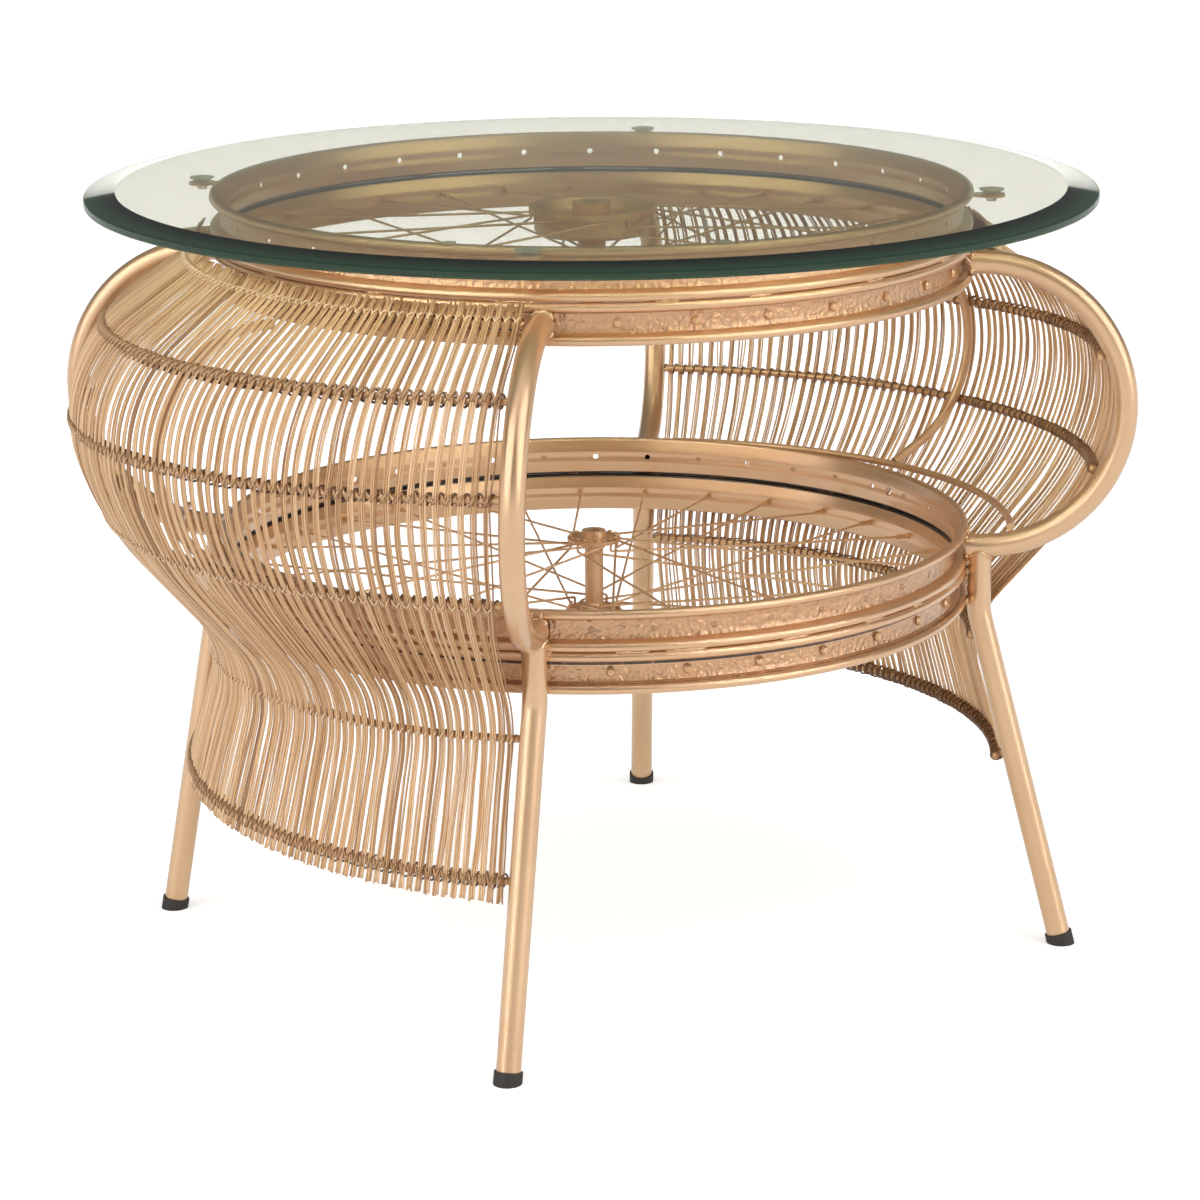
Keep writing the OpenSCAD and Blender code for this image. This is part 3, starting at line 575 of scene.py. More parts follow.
MAT_TUBE = paint("tube_paint", COPPER_PALE, rough=(0.27, 0.33), metallic=0.75, coat=1.0)
MAT_ROD = paint("rod_paint", COPPER, rough=(0.32, 0.42), patch=40)
MAT_RIM = toned_paint("rim_paint", RIM_STOPS, rough=(0.28, 0.34), metallic=0.8, coat=0.9,
                      bump_scale=260, bump_depth=0.0020, rough_part=(0.6, 0.95), speckle=0.02)
MAT_HUB = paint("hub_paint", COPPER, rough=(0.34, 0.5), lumps=(240, 0.0006), patch=60)
MAT_PLUG = paint("plug_paint", COPPER_DIMPLE_SHADE, rough=(0.34, 0.5), patch=60)
MAT_SPOKE = paint("spoke_paint", COPPER, rough=(0.28, 0.4), patch=60)
MAT_WELD = paint("weld_paint", COPPER_PALE, rough=(0.16, 0.3), metallic=0.7, coat=0.8,
                 lumps=(500, 0.0004), patch=120)
MAT_REED = toned_paint("reed_paint", REED_STOPS, rough=(0.34, 0.46), metallic=0.45, coat=0.4,
                       bump_scale=240, bump_depth=0.00006)
MAT_WIRE = toned_paint("wire_paint", WIRE_STOPS, rough=(0.3, 0.45), metallic=0.5, coat=0.5,
                       bump_scale=500, bump_depth=0.00015)
MAT_GLASS = glass_material()
MAT_CLEAR = soft_clear("cup_clear")
MAT_RUBBER = rubber_material()


def repaint(material, slot_name, *nodes):
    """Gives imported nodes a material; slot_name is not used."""
    for node in nodes:
        piece = frame["nodes"][node]
        piece.data.materials.clear()
        piece.data.materials.append(material)


# Reed panels


def bow_shift(corner):
    """Sideways distance that a bow's upper arm has leaned."""
    return 2 * BOW_R * tan(CORNERS[corner][3])


def side_lean(panel, corner):
    """Lean of the outermost group, which passes just beside the bow's upper arm."""
    room = reed_r(BOW_TOP_Z) * sin(panel["edge"]) + bow_shift(corner) - TUBE_R - GROUP_W / 2 - SIDE_GAP
    return math.degrees(math.atan(room / (BOW_TOP_Z - FAN_LOW_Z)))


def group_list(panel):
    """Angle low down and lean of every group of a panel."""
    low, high = [side_lean(panel, corner) for corner in panel["corners"]]
    half = PANEL_HALF - panel["edge"]
    u = np.linspace(-1, 1, GROUPS)
    return panel["middle"] + u * half, ((high - low) * u * u + (high + low) * u) / 2


def lean_turn(lean, z):
    """Angle round the axis between a leaning group's low point and its point at another height."""
    fan = np.arcsin((FAN_MID_Z - FAN_LOW_Z) * np.sin(np.radians(lean)) / reed_r(FAN_MID_Z))
    r = np.interp(z, TABLE_Z, TABLE_R)
    return np.degrees(fan + np.arctan((z - FAN_MID_Z) * np.tan(np.radians(lean)) / r))


# Distance between rows at which a sway has its full size
SWAY_SPAN = 80


def sway(rng, cuts, z, size):
    """A sideways sway between the rows that dies away at each row."""
    out = np.zeros(len(z))
    for high, low in zip(cuts[:-1], cuts[1:]):
        inside = (z <= high) & (z > low)
        share = (high - z[inside]) / (high - low)
        lean = rng.gauss(0, size) * (high - low) / SWAY_SPAN
        skew = rng.gauss(0, size) * 0.5
        out[inside] += lean * np.sin(math.pi * share) + skew * np.sin(2 * math.pi * share)
    return out


# Strands: their steps along Z, and how far past their ends a group's levels and the sways reach
STRAND_STEP = 7.0
LEVEL_PAST = 4
SWAY_PAST = 12
# Shares of groups with four strands and of strands that stray
FOUR_SHARE = 0.2
STRAY_SHARE = 0.1
# Sways of a group, of a strand that strays and of one that doesn't, then the sway in and out
GROUP_SWAY = 0.55
STRAY_SWAY = 0.7
CALM_SWAY = 0.1
AWAY_SWAY = 0.3
# How ends, places and tones differ from strand to strand, and a strand's radius as a share of the pitch
TOP_RANGE = (-2.5, 2)
TIP_RANGE = (-1.2, 1.2)
AWAY_RANGE = (-0.1, 0.1)
GROUP_TONE = 0.07
STRAND_TONE = 0.15
STRAND_FILL = (0.46, 0.50)


def reed_panel(side, panel):
    """Every strand of a panel. Each group is three strands or, now and then, four thinner ones. A few
    strands stray from their group between two rows."""
    rng = random.Random(panel["seed"])
    shape = Shape()
    for a, lean in zip(*group_list(panel)):
        row_heights = [row_z(row, a) for row in panel["rows"]]
        tip = row_z(panel["tips"], a)
        cuts = [STRAND_TOP + SWAY_PAST] + row_heights + [tip - SWAY_PAST]
        strands = 4 if rng.random() < FOUR_SHARE else 3
        pitch = panel["strands_w"] / strands
        group_tone = rng.gauss(0, GROUP_TONE)
        last = tip - LEVEL_PAST
        levels = np.concatenate([np.arange(STRAND_TOP + LEVEL_PAST, last, -STRAND_STEP), [last]])
        group_sway = sway(rng, cuts, levels, GROUP_SWAY)
        for k in range(strands):
            top = STRAND_TOP + rng.uniform(*TOP_RANGE)
            low = tip + rng.uniform(*TIP_RANGE)
            z = np.concatenate([np.arange(top, low, -STRAND_STEP), [low]])
            stray = STRAY_SWAY if rng.random() < STRAY_SHARE else CALM_SWAY
            side_mm = (k - (strands - 1) / 2) * pitch + sway(rng, cuts, z, stray)
            side_mm += np.interp(-z, -levels, group_sway)
            away = sway(rng, cuts, z, AWAY_SWAY) + rng.uniform(*AWAY_RANGE)
            r, zz, nz, nr = surface(z, away)
            angle = a + lean_turn(lean, z) + np.degrees(side_mm / r)
            points = on_panel(angle, r, zz)
            out = on_panel(angle, nr, -nz)
            tone = 0.5 + group_tone + rng.gauss(0, STRAND_TONE)
            tube(shape, points, out, pitch * rng.uniform(*STRAND_FILL), 8, tone)
    shape.make(side + "_reed_strands", MAT_REED, replaces=(side + "_reeds",))


def rod_inset(z):
    """How far inside a bow's ring a row's rod runs."""
    r, zz, _, _ = surface(z, ROD_AWAY)
    return BOW_R - math.hypot(r - BOW_CENTRE_R, zz - BOW_Z)


# A rod that runs inside the bows passes them by this angle
ROD_PAST = 0.6


def rod_short(z):
    """Angle by which a row's rod stops short of a corner."""
    if rod_inset(z) > TUBE_R + ROD_R:
        return -ROD_PAST
    return math.degrees(math.asin((TUBE_R + TIE_GAP) / (surface(z, ROD_AWAY)[0] - ROD_R)))


def corner_drift(corner, z):
    """Angle by which a corner's tube has moved sideways: its leg below, its bow above."""
    _, foot_r, drift, lean = CORNERS[corner]
    if z > BEND_Z:
        return math.degrees(math.atan(max(0, z - BOW_LOW_Z) * tan(lean) / surface(z, ROD_AWAY)[0]))
    down = 1 - z / BEND_Z
    outer = STUB_R + down * (foot_r * cos(drift) - STUB_R)
    return math.degrees(math.atan2(down * foot_r * sin(drift), outer))


def row_rods(side, panel):
    """A panel's rods, one for each row, from corner to corner."""
    shape = Shape()
    for row in panel["rows"]:
        z = row[0]
        start = panel["middle"] - PANEL_HALF + corner_drift(panel["corners"][0], z) + rod_short(z)
        end = panel["middle"] + PANEL_HALF + corner_drift(panel["corners"][1], z) - rod_short(z)
        a = np.linspace(start, end, 120)
        r, zz, _, _ = surface(row_z(row, a), ROD_AWAY)
        tube(shape, on_panel(a, r, zz), (0, 0, 1), ROD_R, 12)
    shape.make(side + "_row_rods", MAT_ROD, replaces=(side + "_rods",))


# Sides of the wire, steps of a turn, and how round it is before and behind, from 0 to 1
WIRE_SIDES = 6
TURN_STEPS = 14
WRAP_FLAT = 0.7
# How much shorter or taller than usual a turn may be
TALL_RANGE = (0.82, 1.18)


def wrap(shape, row, places, wire_r, half_h, hand, rng, tones, front=0.75, jitter=0.12):
    """Wire wound round a row's rod and reeds, one turn for each of the places, which are angles. It
    crosses in front of the reeds and comes straight round the rod behind them. Between and behind
    the reeds its tone darkens from the first of tones to the second, as painted shade."""
    turns = len(places)
    turn = np.arange(0, turns * TURN_STEPS + 1) / TURN_STEPS - 0.5
    whole = np.floor(turn + 0.5).astype(int)
    shift = np.array([rng.uniform(-jitter, jitter) for _ in range(turns + 2)])
    tall = np.array([rng.uniform(*TALL_RANGE) for _ in range(turns + 2)])
    phase = 2 * math.pi * turn
    ahead = turn + front * np.sin(phase) / (2 * math.pi) + shift[whole] * (1 + np.cos(phase)) / 2
    ends = [-1] + list(range(turns)) + [turns]
    spread = [2 * places[0] - places[1]] + list(places) + [2 * places[-1] - places[-2]]
    a = np.interp(ahead, ends, spread)
    outer = REED_HALF + wire_r
    inner = ROD_AWAY - ROD_R - wire_r
    c, s = np.cos(phase), hand * np.sin(phase)
    c = np.sign(c) * np.abs(c) ** WRAP_FLAT
    away = (outer + inner) / 2 + (outer - inner) / 2 * c
    along = half_h * s * tall[whole]
    z = row_z(row, a)
    r, zz, nz, nr = surface(z, away, along)
    out = on_panel(a, nr * c + nz * s, -nz * c + nr * s)
    # Painted shade: the wire darkens from its tone in front of the reeds to the second tone between and
    # behind them
    tone = tones[1] + (tones[0] - tones[1]) * np.clip(c, 0, 1) ** 2
    tube(shape, on_panel(a, r, zz), out, wire_r, WIRE_SIDES, np.repeat(tone, WIRE_SIDES))


# How each row is tied: wire radius, half height of the front stroke, the hands that it winds in, and
# the tones of the wire in front of the reeds and between them; the darker tone between them is painted shade
TIES = {
    "left": [
        (0.8, 3.3, (1, -1), (1.2, 0.0)), (1.0, 4.3, (1, -1), (0.6, 0.0)),
        (0.9, 4.0, (1, -1), (0.6, 0.0)), (0.75, 3.6, (1, -1), (0.9, 0.1)),
        (0.7, 3.2, (1,), (1.0, 0.2)), (0.85, 4.8, (1, -1), (0.5, 0.0)),
    ],
    "right": [
        (0.75, 3.2, (1, -1), (1.1, 0.1)), (0.8, 3.7, (1,), (0.5, 0.2)), (0.8, 3.7, (1,), (0.5, 0.2)),
        (0.75, 3.6, (1,), (0.7, 0.2)), (0.85, 4.2, (1, -1), (0.5, 0.1)),
    ],
}
# Each further wire of a row starts this far along, in degrees, and stands this much taller
HAND_SHIFT = 0.35
HAND_TALLER = 0.4
# Stretches of the right panel's two middle rows that are bound more than once, each as the share of
# the row where it starts and ends and the number of extra turns
BOUND = [(0.0, 0.30, 26), (0.02, 0.16, 12), (0.42, 0.52, 7)]
BOUND_ROWS = (1, 2)
BOUND_WIRE = 0.6
BOUND_HALF = 3.3


def row_ties(side, panel):
    """A panel's tie wires, one piece for all its rows."""
    rng = random.Random(panel["seed"] + 5)
    shape = Shape()
    angles, leans = group_list(panel)
    for n, (row, (wire_r, half_h, hands, tones)) in enumerate(zip(panel["rows"], TIES[side])):
        places = angles + lean_turn(leans, row[0])
        for i, hand in enumerate(hands):
            starts = places + HAND_SHIFT * i * hand
            wrap(shape, row, starts, wire_r, half_h + HAND_TALLER * i, hand, rng, tones)
        if side == "right" and n in BOUND_ROWS:
            for start, end, turns in BOUND:
                spots = np.interp(np.linspace(start, end, turns), np.linspace(0, 1, GROUPS), places)
                spots = spots + rng.uniform(-0.3, 0.3)
                wrap(shape, row, spots, BOUND_WIRE, BOUND_HALF, rng.choice((1, -1)), rng, (0.5, 0.3),
                     front=0.3, jitter=0.45)
    shape.make(side + "_row_ties", MAT_WIRE, replaces=(side + "_tie_wires",))


# Rims


def rim_profile():
    """Closed outline of a rim's section about its own middle height. The inner side has a soft fold
    along its middle, and the outer channel has close points for its rough paint."""
    bend = 3
    half = [(INNER_R + 0.5, 0), (INNER_R + 0.3, 1.6), (INNER_R - 0.35, 4.2), (INNER_R - 0.2, 5.2)]
    half += [(INNER_R, ROLL_Z - ROLL_R - bend), (INNER_R + SHEET / 4, ROLL_Z - ROLL_R)]
    half += arc((ROLL_X, ROLL_Z), ROLL_R, 180, -105, 19)
    half += [(WELL_R + SHEET / 2, ROLL_Z - ROLL_R - bend / 2), (WELL_R + SHEET / 4, 5.7)]
    half += [(WELL_R, ROLL_Z - ROLL_R - bend - SHEET), (WELL_R, 2.8), (WELL_R, 1.4)]
    return half + [(WELL_R, 0)] + [(r, -z) for r, z in reversed(half[1:])]


RIM_SEGMENTS = 1260
# Holes of each rim: how many, the angle of the first, and their diameter
HOLES = {
    "lower_bare_rim": (40, 7.8, 4.6),
    "upper_bare_rim": (32, 8.4, 4.6),
    "lower_spoked_rim": (32, 10.5, 4.4),
    "upper_spoked_rim": (32, 0.5, 4.4),
}
# Valve hole of the lower bare rim: its angle and diameter
VALVE = (-5.7, 8.5)
# Holes of the lower bare rim that paint has filled
FILLED = (0, 1, 3, 6, 8, 11, 14, 15, 18, 38) + tuple(range(20, 34))


# Paint in the rims' channel: the height of its runs and grit, and their scales
LUMP_H = 0.30
RUN_SCALE = 0.22
GRIT_SCALE = 0.55


def rim_lumps(z):
    """Paint runs and grit in a rim's outer channel."""
    def lump(a, prof):
        out = np.zeros((len(a), len(prof)))
        for j, (r, height) in enumerate(prof):
            if r < WELL_R - 0.1 or r > WELL_R + 1 or abs(height) > ROLL_Z - ROLL_R:
                continue
            for i, angle in enumerate(a):
                p = Vector((r * math.cos(angle), r * math.sin(angle), height + z))
                out[i, j] = LUMP_H * noise.noise(p * RUN_SCALE) + LUMP_H * noise.noise(p * GRIT_SCALE)
        return out
    return lump


# Tones of a rim's paint: in the rough outer channel, on smooth sheet, and painted shade in the crevice
# between stacked rims
ROUGH_TONE = 1.0
SMOOTH_TONE = 0.5
CREVICE_SHADE_TONE = 0.0
# Half the height of the rough channel
CHANNEL_HALF = 7.6
# The ragged dark bands in the lowest rim's channel, by its top and, less dark, by its bottom: heights above
# and below its middle, and how dark they are
BAND_ABOVE = (5.4, 9.5)
BAND_BELOW = (-10, -7.4)
BAND_DARK = 0.62
BAND_RAGGED = 0.5
BAND_LOW_SHARE = 0.45
BAND_SCALE = 60


def ragged_dark_band(r, a, rel):
    """Which vertices lie in the ragged dark bands, and the tone of each."""
    around = [Vector((math.cos(t) * BAND_SCALE, math.sin(t) * BAND_SCALE, 3.0)) for t in a]
    jag = np.array([noise.noise(point) for point in around])
    above = (rel > BAND_ABOVE[0]) & (rel < BAND_ABOVE[1])
    below = (rel > BAND_BELOW[0]) & (rel < BAND_BELOW[1])
    inside = np.where(rel > 0, above, below) & (r > WELL_R - 0.3) & (r < ROLL_X)
    tone = SMOOTH_TONE - (BAND_DARK + BAND_RAGGED * jag) * np.where(rel > 0, 1.0, BAND_LOW_SHARE)
    return inside, np.clip(tone, CREVICE_SHADE_TONE, SMOOTH_TONE)


def rim_tone(node, co):
    """Tone of a rim's paint at its vertices, with painted shade in the crevice between stacked rims."""
    r = np.hypot(co[:, 0], co[:, 1])
    rel = co[:, 2] - RIM_Z[node]
    tone = np.full(len(co), SMOOTH_TONE)
    tone[(r > WELL_R - 0.8) & (np.abs(rel) < CHANNEL_HALF)] = ROUGH_TONE
    if node == "lower_spoked_rim":
        inside, dark_band = ragged_dark_band(r, np.arctan2(co[:, 1], co[:, 0]), rel)
        tone[inside] = dark_band[inside]
    toward_other = rel if "spoked" in node else -rel
    # Painted shade: the rims' facing sides in the crevice between them are painted near black
    crevice = (toward_other > ROLL_Z + 1.2) & (r < ROLL_X + 0.4)
    tone[crevice] = CREVICE_SHADE_TONE
    return tone


# How far a drill reaches past the sheet
DRILL_PAST = 4


def drill_shape(name, holes, z):
    """Cylinders that stand for the holes of a rim, each given by its angle and radius."""
    shape = Shape()
    for angle, radius in holes:
        points = [outward(angle) * r + up(z) for r in (INNER_R - DRILL_PAST, WELL_R + DRILL_PAST)]
        tube(shape, points, (0, 0, 1), radius, 20)
    mesh = bpy.data.meshes.new(name)
    faces = [list(f) for group in shape.faces for f in group]
    mesh.from_pydata((np.concatenate(shape.verts) * MM).tolist(), [], faces)
    return add_object(name, mesh)


def cut(piece, drill):
    """Cuts the drill's cylinders out of a piece and keeps the result as its mesh."""
    mod = piece.modifiers.new("holes", "BOOLEAN")
    mod.operation = "DIFFERENCE"
    mod.solver = "MANIFOLD"
    mod.object = drill
    graph = bpy.context.evaluated_depsgraph_get()
    mesh = bpy.data.meshes.new_from_object(piece.evaluated_get(graph))
    piece.modifiers.clear()
    piece.data = mesh
    bpy.data.objects.remove(drill)
    for polygon in mesh.polygons:
        polygon.use_smooth = True
    mesh.set_sharp_from_angle(angle=math.radians(40))


def rim(node):
    """A rim with its rough channel and its open holes."""
    z = RIM_Z[node]
    shape = Shape()
    turned(shape, rim_profile(), RIM_SEGMENTS, at=(0, 0, z), loop=True, lump=rim_lumps(z))
    piece = shape.make(node.replace("_rim", "_hoop"), MAT_RIM, replaces=(node,))
    count, turn, d = HOLES[node]
    open_holes = [i for i in range(count) if node != "lower_bare_rim" or i not in FILLED]
    holes = [(turn + i * 360 / count, d / 2) for i in open_holes]
    if node == "lower_bare_rim":
        holes.append((VALVE[0], VALVE[1] / 2))
    cut(piece, drill_shape(node + "_drill", holes, z))
    set_tone(piece.data, rim_tone(node, vertices_mm(piece.data)))


# Each face of the sheet at a plug, as its radius and the way out of it, and the plug's section there
PLUG_FACES = ((INNER_R + 0.45, -1), (WELL_R + 0.1, 1))
PLUG_STEPS = (-0.6, 0.15, 0.35)
PLUG_EDGE = 0.7
PLUG_TONE = 0.2


def hole_plugs():
    """Paint that fills spoke holes of the lower bare rim: a dimple inside and outside each, in a darker
    copper that is painted shade of the dimples.
    """
    shape = Shape()
    count, turn, d = HOLES["lower_bare_rim"]
    z = RIM_Z["lower_bare_rim"]
    for i in FILLED:
        out = outward(turn + i * 360 / count)
        for base, way in PLUG_FACES:
            points = [out * (base + way * step) + up(z) for step in PLUG_STEPS]
            tube(shape, points, (0, 0, 1), [d / 2, d / 2, d / 2 - PLUG_EDGE], 16, PLUG_TONE)
    shape.make("hole_plugs", MAT_PLUG)


# Wheels


SPOKES = 32
SPOKE_R = 1.0
SPOKE_CROSS = 3
SPOKE_BOW = 0.8
SPOKE_POINTS = 14
NIPPLE_L = 12
# Spoke ends lie this far inside their nipples
NIPPLE_GRIP = 2
# How far inside the flange spokes of each lead lie, in diameters, and how far outside their heads are
LAYERS = {1: 0.6, -1: 3.0}
HEAD_PAST = 3.5
HEAD = [(0.3, -0.9), (1.7, -0.8), (2.0, 0), (1.5, 0.8), (0.3, 1.0)]
# Each wheel: its height, the angle of its first spoke, and its flanges' hole radius and height
WHEELS = {
    "upper": {"z": RIM_Z["upper_spoked_rim"], "turn": 0.5, "top": (48.8, 26), "low": (28.5, -28)},
    "lower": {"z": RIM_Z["lower_spoked_rim"], "turn": 10.5, "top": (19, 28), "low": (19, -28)},
}


def wheel_spokes(name, wheel):
    """Crossed spokes. Each has an elbow and a head at its flange and bows a little where it crosses."""
    rng = random.Random(21)
    shape = Shape()
    for i in range(SPOKES):
        a = wheel["turn"] + i * 360 / SPOKES
        upper = i % 2 == 0
        lead = 1 if i % 4 < 2 else -1
        b = a + lead * SPOKE_CROSS * 720 / SPOKES
        r, face = wheel["top"] if upper else wheel["low"]
        inward = -1 if upper else 1
        layer = LAYERS[lead]
        h = face + inward * layer * 2 * SPOKE_R
        start = np.array([r * cos(b), r * sin(b), wheel["z"] + h])
        end_r = INNER_R - NIPPLE_L + NIPPLE_GRIP
        end = np.array([end_r * cos(a), end_r * sin(a), wheel["z"]])
        t = np.linspace(0, 1, SPOKE_POINTS)[:, None]
        along = start + (end - start) * t
        along[:, 2] += np.sin(math.pi * t[:, 0]) * rng.uniform(-SPOKE_BOW, SPOKE_BOW)
        elbow = start + up(-inward * (layer * 2 + HEAD_PAST))
        neck = start + up(-inward * 1.0) - (end - start) / np.linalg.norm(end - start) * 0.6
        points = np.vstack([elbow, neck, along])
        side = np.cross(end - start, [0, 0, 1.0])
        tube(shape, points, side, SPOKE_R)
        turned(shape, HEAD, 10, at=elbow + up(-inward * 0.8))
    shape.make(name + "_wheel_spokes", MAT_SPOKE, replaces=(name + "_spokes",), sharp=50)


# Welds


# How much a run of weld swells along its length, and its size at both ends
SWELL_RANGE = (0.7, 1.35)
SWELL_END = 0.35
# How far welds stand out from what they join, then each kind's radius and its place and length
WELD_OUT = 0.6
BOW_WELD = 2.0
BOW_WELD_HALF = 62
STUB_WELD = 1.4
STUB_SWELL = (0.6, 1.1)
STUB_DROP = 3.0
SIDE_WELD = 1.6
SIDE_WELD_APART = 3.4
SIDE_WELD_HALF = 3
# Runs of weld between stacked rims: the rim above, how many runs, and their radius
STACK_WELDS = (("lower_bare_rim", 26, 1.5), ("upper_bare_rim", 18, 1.2))


def bead(shape, points, out, radius, rng):
    """A lumpy run of weld along points."""
    swell = np.array([rng.uniform(*SWELL_RANGE) for _ in points])
    swell[0] = swell[-1] = SWELL_END
    tube(shape, points, out, radius * swell)


def bow_welds(shape, rng):
    """Each bow's two ends are welded to the rim's rolled edges, above and below the tube."""
    for corner, (turn, _, _, _) in CORNERS.items():
        out, across = outward(turn), sideways(turn)
        for z, shift in ((BOW_LOW_Z, 0), (BOW_TOP_Z, bow_shift(corner))):
            for middle in (90, 270):
                ring = [middle + d for d in np.linspace(-BOW_WELD_HALF, BOW_WELD_HALF, 15)]
                points = [out * (BOW_END_R + WELD_OUT) + across * (shift + TUBE_R * cos(a))
                          + up(z + TUBE_R * sin(a)) for a in ring]
                bead(shape, points, out, BOW_WELD, rng)


def stub_welds(shape, rng):
    """Each leg's upper end is welded under the bow, and its side to the rims' rolled edges."""
    for turn, _, _, _ in CORNERS.values():
        out, across = outward(turn), sideways(turn)
        points = []
        for a in np.linspace(0, 345, 24):
            drop = math.sqrt((TUBE_R + WELD_GAP) ** 2 - (TUBE_R * sin(a)) ** 2 + 0.01)
            height = BOW_LOW_Z - max(drop, STUB_DROP)
            points.append(out * (STUB_R + TUBE_R * cos(a)) + across * TUBE_R * sin(a) + up(height))
        swell = np.array([rng.uniform(*STUB_SWELL) for _ in points])
        tube(shape, points, (0, 0, 1), STUB_WELD * swell, closed=True)
        for rim_node in ("lower_bare_rim", "lower_spoked_rim"):
            for s in (-1, 1):
                z = RIM_Z[rim_node] + s * ROLL_Z
                for hand in (-1, 1):
                    centre = out * (RIM_R + WELD_OUT) + across * hand * SIDE_WELD_APART
                    steps = np.linspace(-SIDE_WELD_HALF, SIDE_WELD_HALF, 7)
                    points = [centre + up(z + d) for d in steps]
                    bead(shape, points, out, SIDE_WELD, rng)


def stack_welds(shape, rng):
    """Short runs of weld close the joint between two stacked rims."""
    r = ROLL_X + 1.0
    for node, count, size in STACK_WELDS:
        z = RIM_Z[node] - RIM_W / 2
        for i in range(count):
            a = i * 360 / count + rng.uniform(-4, 4)
            half = rng.uniform(1.0, 3.2)
            ring = np.linspace(a - half, a + half, 12)
            points = [outward(b) * r + up(z + rng.uniform(-0.4, 0.4)) for b in ring]
            bead(shape, points, (0, 0, 1), size, rng)


def welds():
    """Every weld of the frame, as one piece."""
    rng = random.Random(31)
    shape = Shape()
    bow_welds(shape, rng)
    stub_welds(shape, rng)
    stack_welds(shape, rng)
    shape.make("weld_beads", MAT_WELD)


# Glass


# The bevel's width and drop, the rounded arris, and the share of green in the edge's look
BEVEL_W = 25
BEVEL_DROP = 3.5
ARRIS = 1.5
EDGE_TINT = 0.28
# A turned face starts this close to the axis, and the flat underside ends this far from the arris
NEAR_AXIS = 0.01
UNDER_EDGE = 40


def glass():
    """The bevelled glass disc, with a tone of green on its edge and bevel."""
    low, high = box_mm("glass_top")
    r = high[0]
    top = high[2] - low[2]
    profile = [(NEAR_AXIS, 0), (r - ARRIS - UNDER_EDGE, 0)]
    profile += arc((r - ARRIS, ARRIS), ARRIS, -90, 0, 4)
    profile += arc((r - ARRIS, top - BEVEL_DROP - ARRIS), ARRIS, 0, 80, 4)
    profile += [(r - BEVEL_W, top), (NEAR_AXIS, top)]
    shape = Shape()
    turned(shape, profile, 360, at=(0, 0, low[2]))
    disc = shape.make("glass_disc", MAT_GLASS, body="glass_top", replaces=("glass_top",), sharp=4)
    x, y, z = vertices_mm(disc.data).T
    edge = (np.hypot(x, y) > r - ARRIS - 1) & (z > low[2] + ARRIS / 2)
    set_tone(disc.data, np.where(edge, EDGE_TINT, 0.0))


def build():
    """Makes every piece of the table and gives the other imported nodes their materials."""
    for side, panel in PANELS.items():
        reed_panel(side, panel)
        row_rods(side, panel)
        row_ties(side, panel)
    for node in RIM_NODES:
        rim(node)
    hole_plugs()
    for name, wheel in WHEELS.items():
        wheel_spokes(name, wheel)
    welds()
    glass()
    for corner in CORNERS:
        repaint(MAT_TUBE, "frame_tube", corner + "_leg", corner + "_bow")
        repaint(MAT_RUBBER, "black_rubber", corner + "_foot_cap")
    for side in PANELS:
        repaint(MAT_ROD, "frame_rod", side + "_middle_rod", side + "_hoop_rod")
    repaint(MAT_ROD, "frame_rod", "cup_tabs")
    repaint(MAT_HUB, "hub", "upper_drum_hub", "lower_hub")
    repaint(MAT_SPOKE, "spoke", "upper_nipples", "lower_nipples")
    repaint(MAT_CLEAR, "clear_rubber", "suction_cups", "clear_bumpers")


# Stage


# Half the floor's width in metres, and its colour
FLOOR_HALF = 40.0
FLOOR_GREY = (0.88, 0.88, 0.88, 1)
# Extra white that the floor shows to the camera and through glass, and in gloss
FLOOR_GLOW = 0.45
FLOOR_GLOSS = 0.10
# Further light behind the glass, which dims and tints what is seen through it, and the light's hue
THROUGH_GLOW = 1.2
THROUGH_HUE = (0.75, 0.72, 1.0, 1)
# Strength of the world as light on the object, and as gloss sees it low down and higher up
WORLD_LIGHT = 0.40
GLOSS_LOW = 0.9
GLOSS_HIGH = 0.12
# Between these heights, from 0 at the horizon to 1 straight up, gloss sees the world grow dim
DIM_RANGE = (0.02, 0.16)


def seen_path(tree):
    """Light path, 1 for rays from the camera and through glass, which see the white background, and 1
    for those through glass alone. Rays that a glossy surface sent through the glass see it as gloss does."""
    path = tree.nodes.new("ShaderNodeLightPath")
    first = math_node(tree, "LESS_THAN", 0.5)
    link(tree, path, "Glossy Depth", first, 0)
    through = math_node(tree, "MULTIPLY")
    link(tree, path, "Is Transmission Ray", through, 0)
    link(tree, first, "Value", through, 1)
    seen = math_node(tree, "MAXIMUM")
    link(tree, path, "Is Camera Ray", seen, 0)
    link(tree, through, "Value", seen, 1)
    return path, seen, through


def shine(tree, emitter, strength, through):
    """Gives an emitter its strength and, behind the glass, the further light in its own hue."""
    more = math_node(tree, "MULTIPLY_ADD", THROUGH_GLOW)
    link(tree, through, "Value", more, 0)
    link(tree, strength, "Result", more, 2)
    link(tree, more, "Value", emitter, "Strength")
    hue = tree.nodes.new("ShaderNodeMixRGB")
    put(hue, {"Color1": (1, 1, 1, 1), "Color2": THROUGH_HUE})
    link(tree, through, "Value", hue, "Fac")
    link(tree, hue, "Color", emitter, "Color")


def pick(tree, factor, factor_socket, first, second):
    """A number that goes from first to second with a factor. Each is a number or a node's output."""
    mix = tree.nodes.new("ShaderNodeMix")
    mix.data_type = "FLOAT"
    link(tree, factor, factor_socket, mix, "Factor")
    for name, value in (("A", first), ("B", second)):
        if isinstance(value, float):
            mix.inputs[name].default_value = value
        else:
            tree.links.new(value, mix.inputs[name])
    return mix


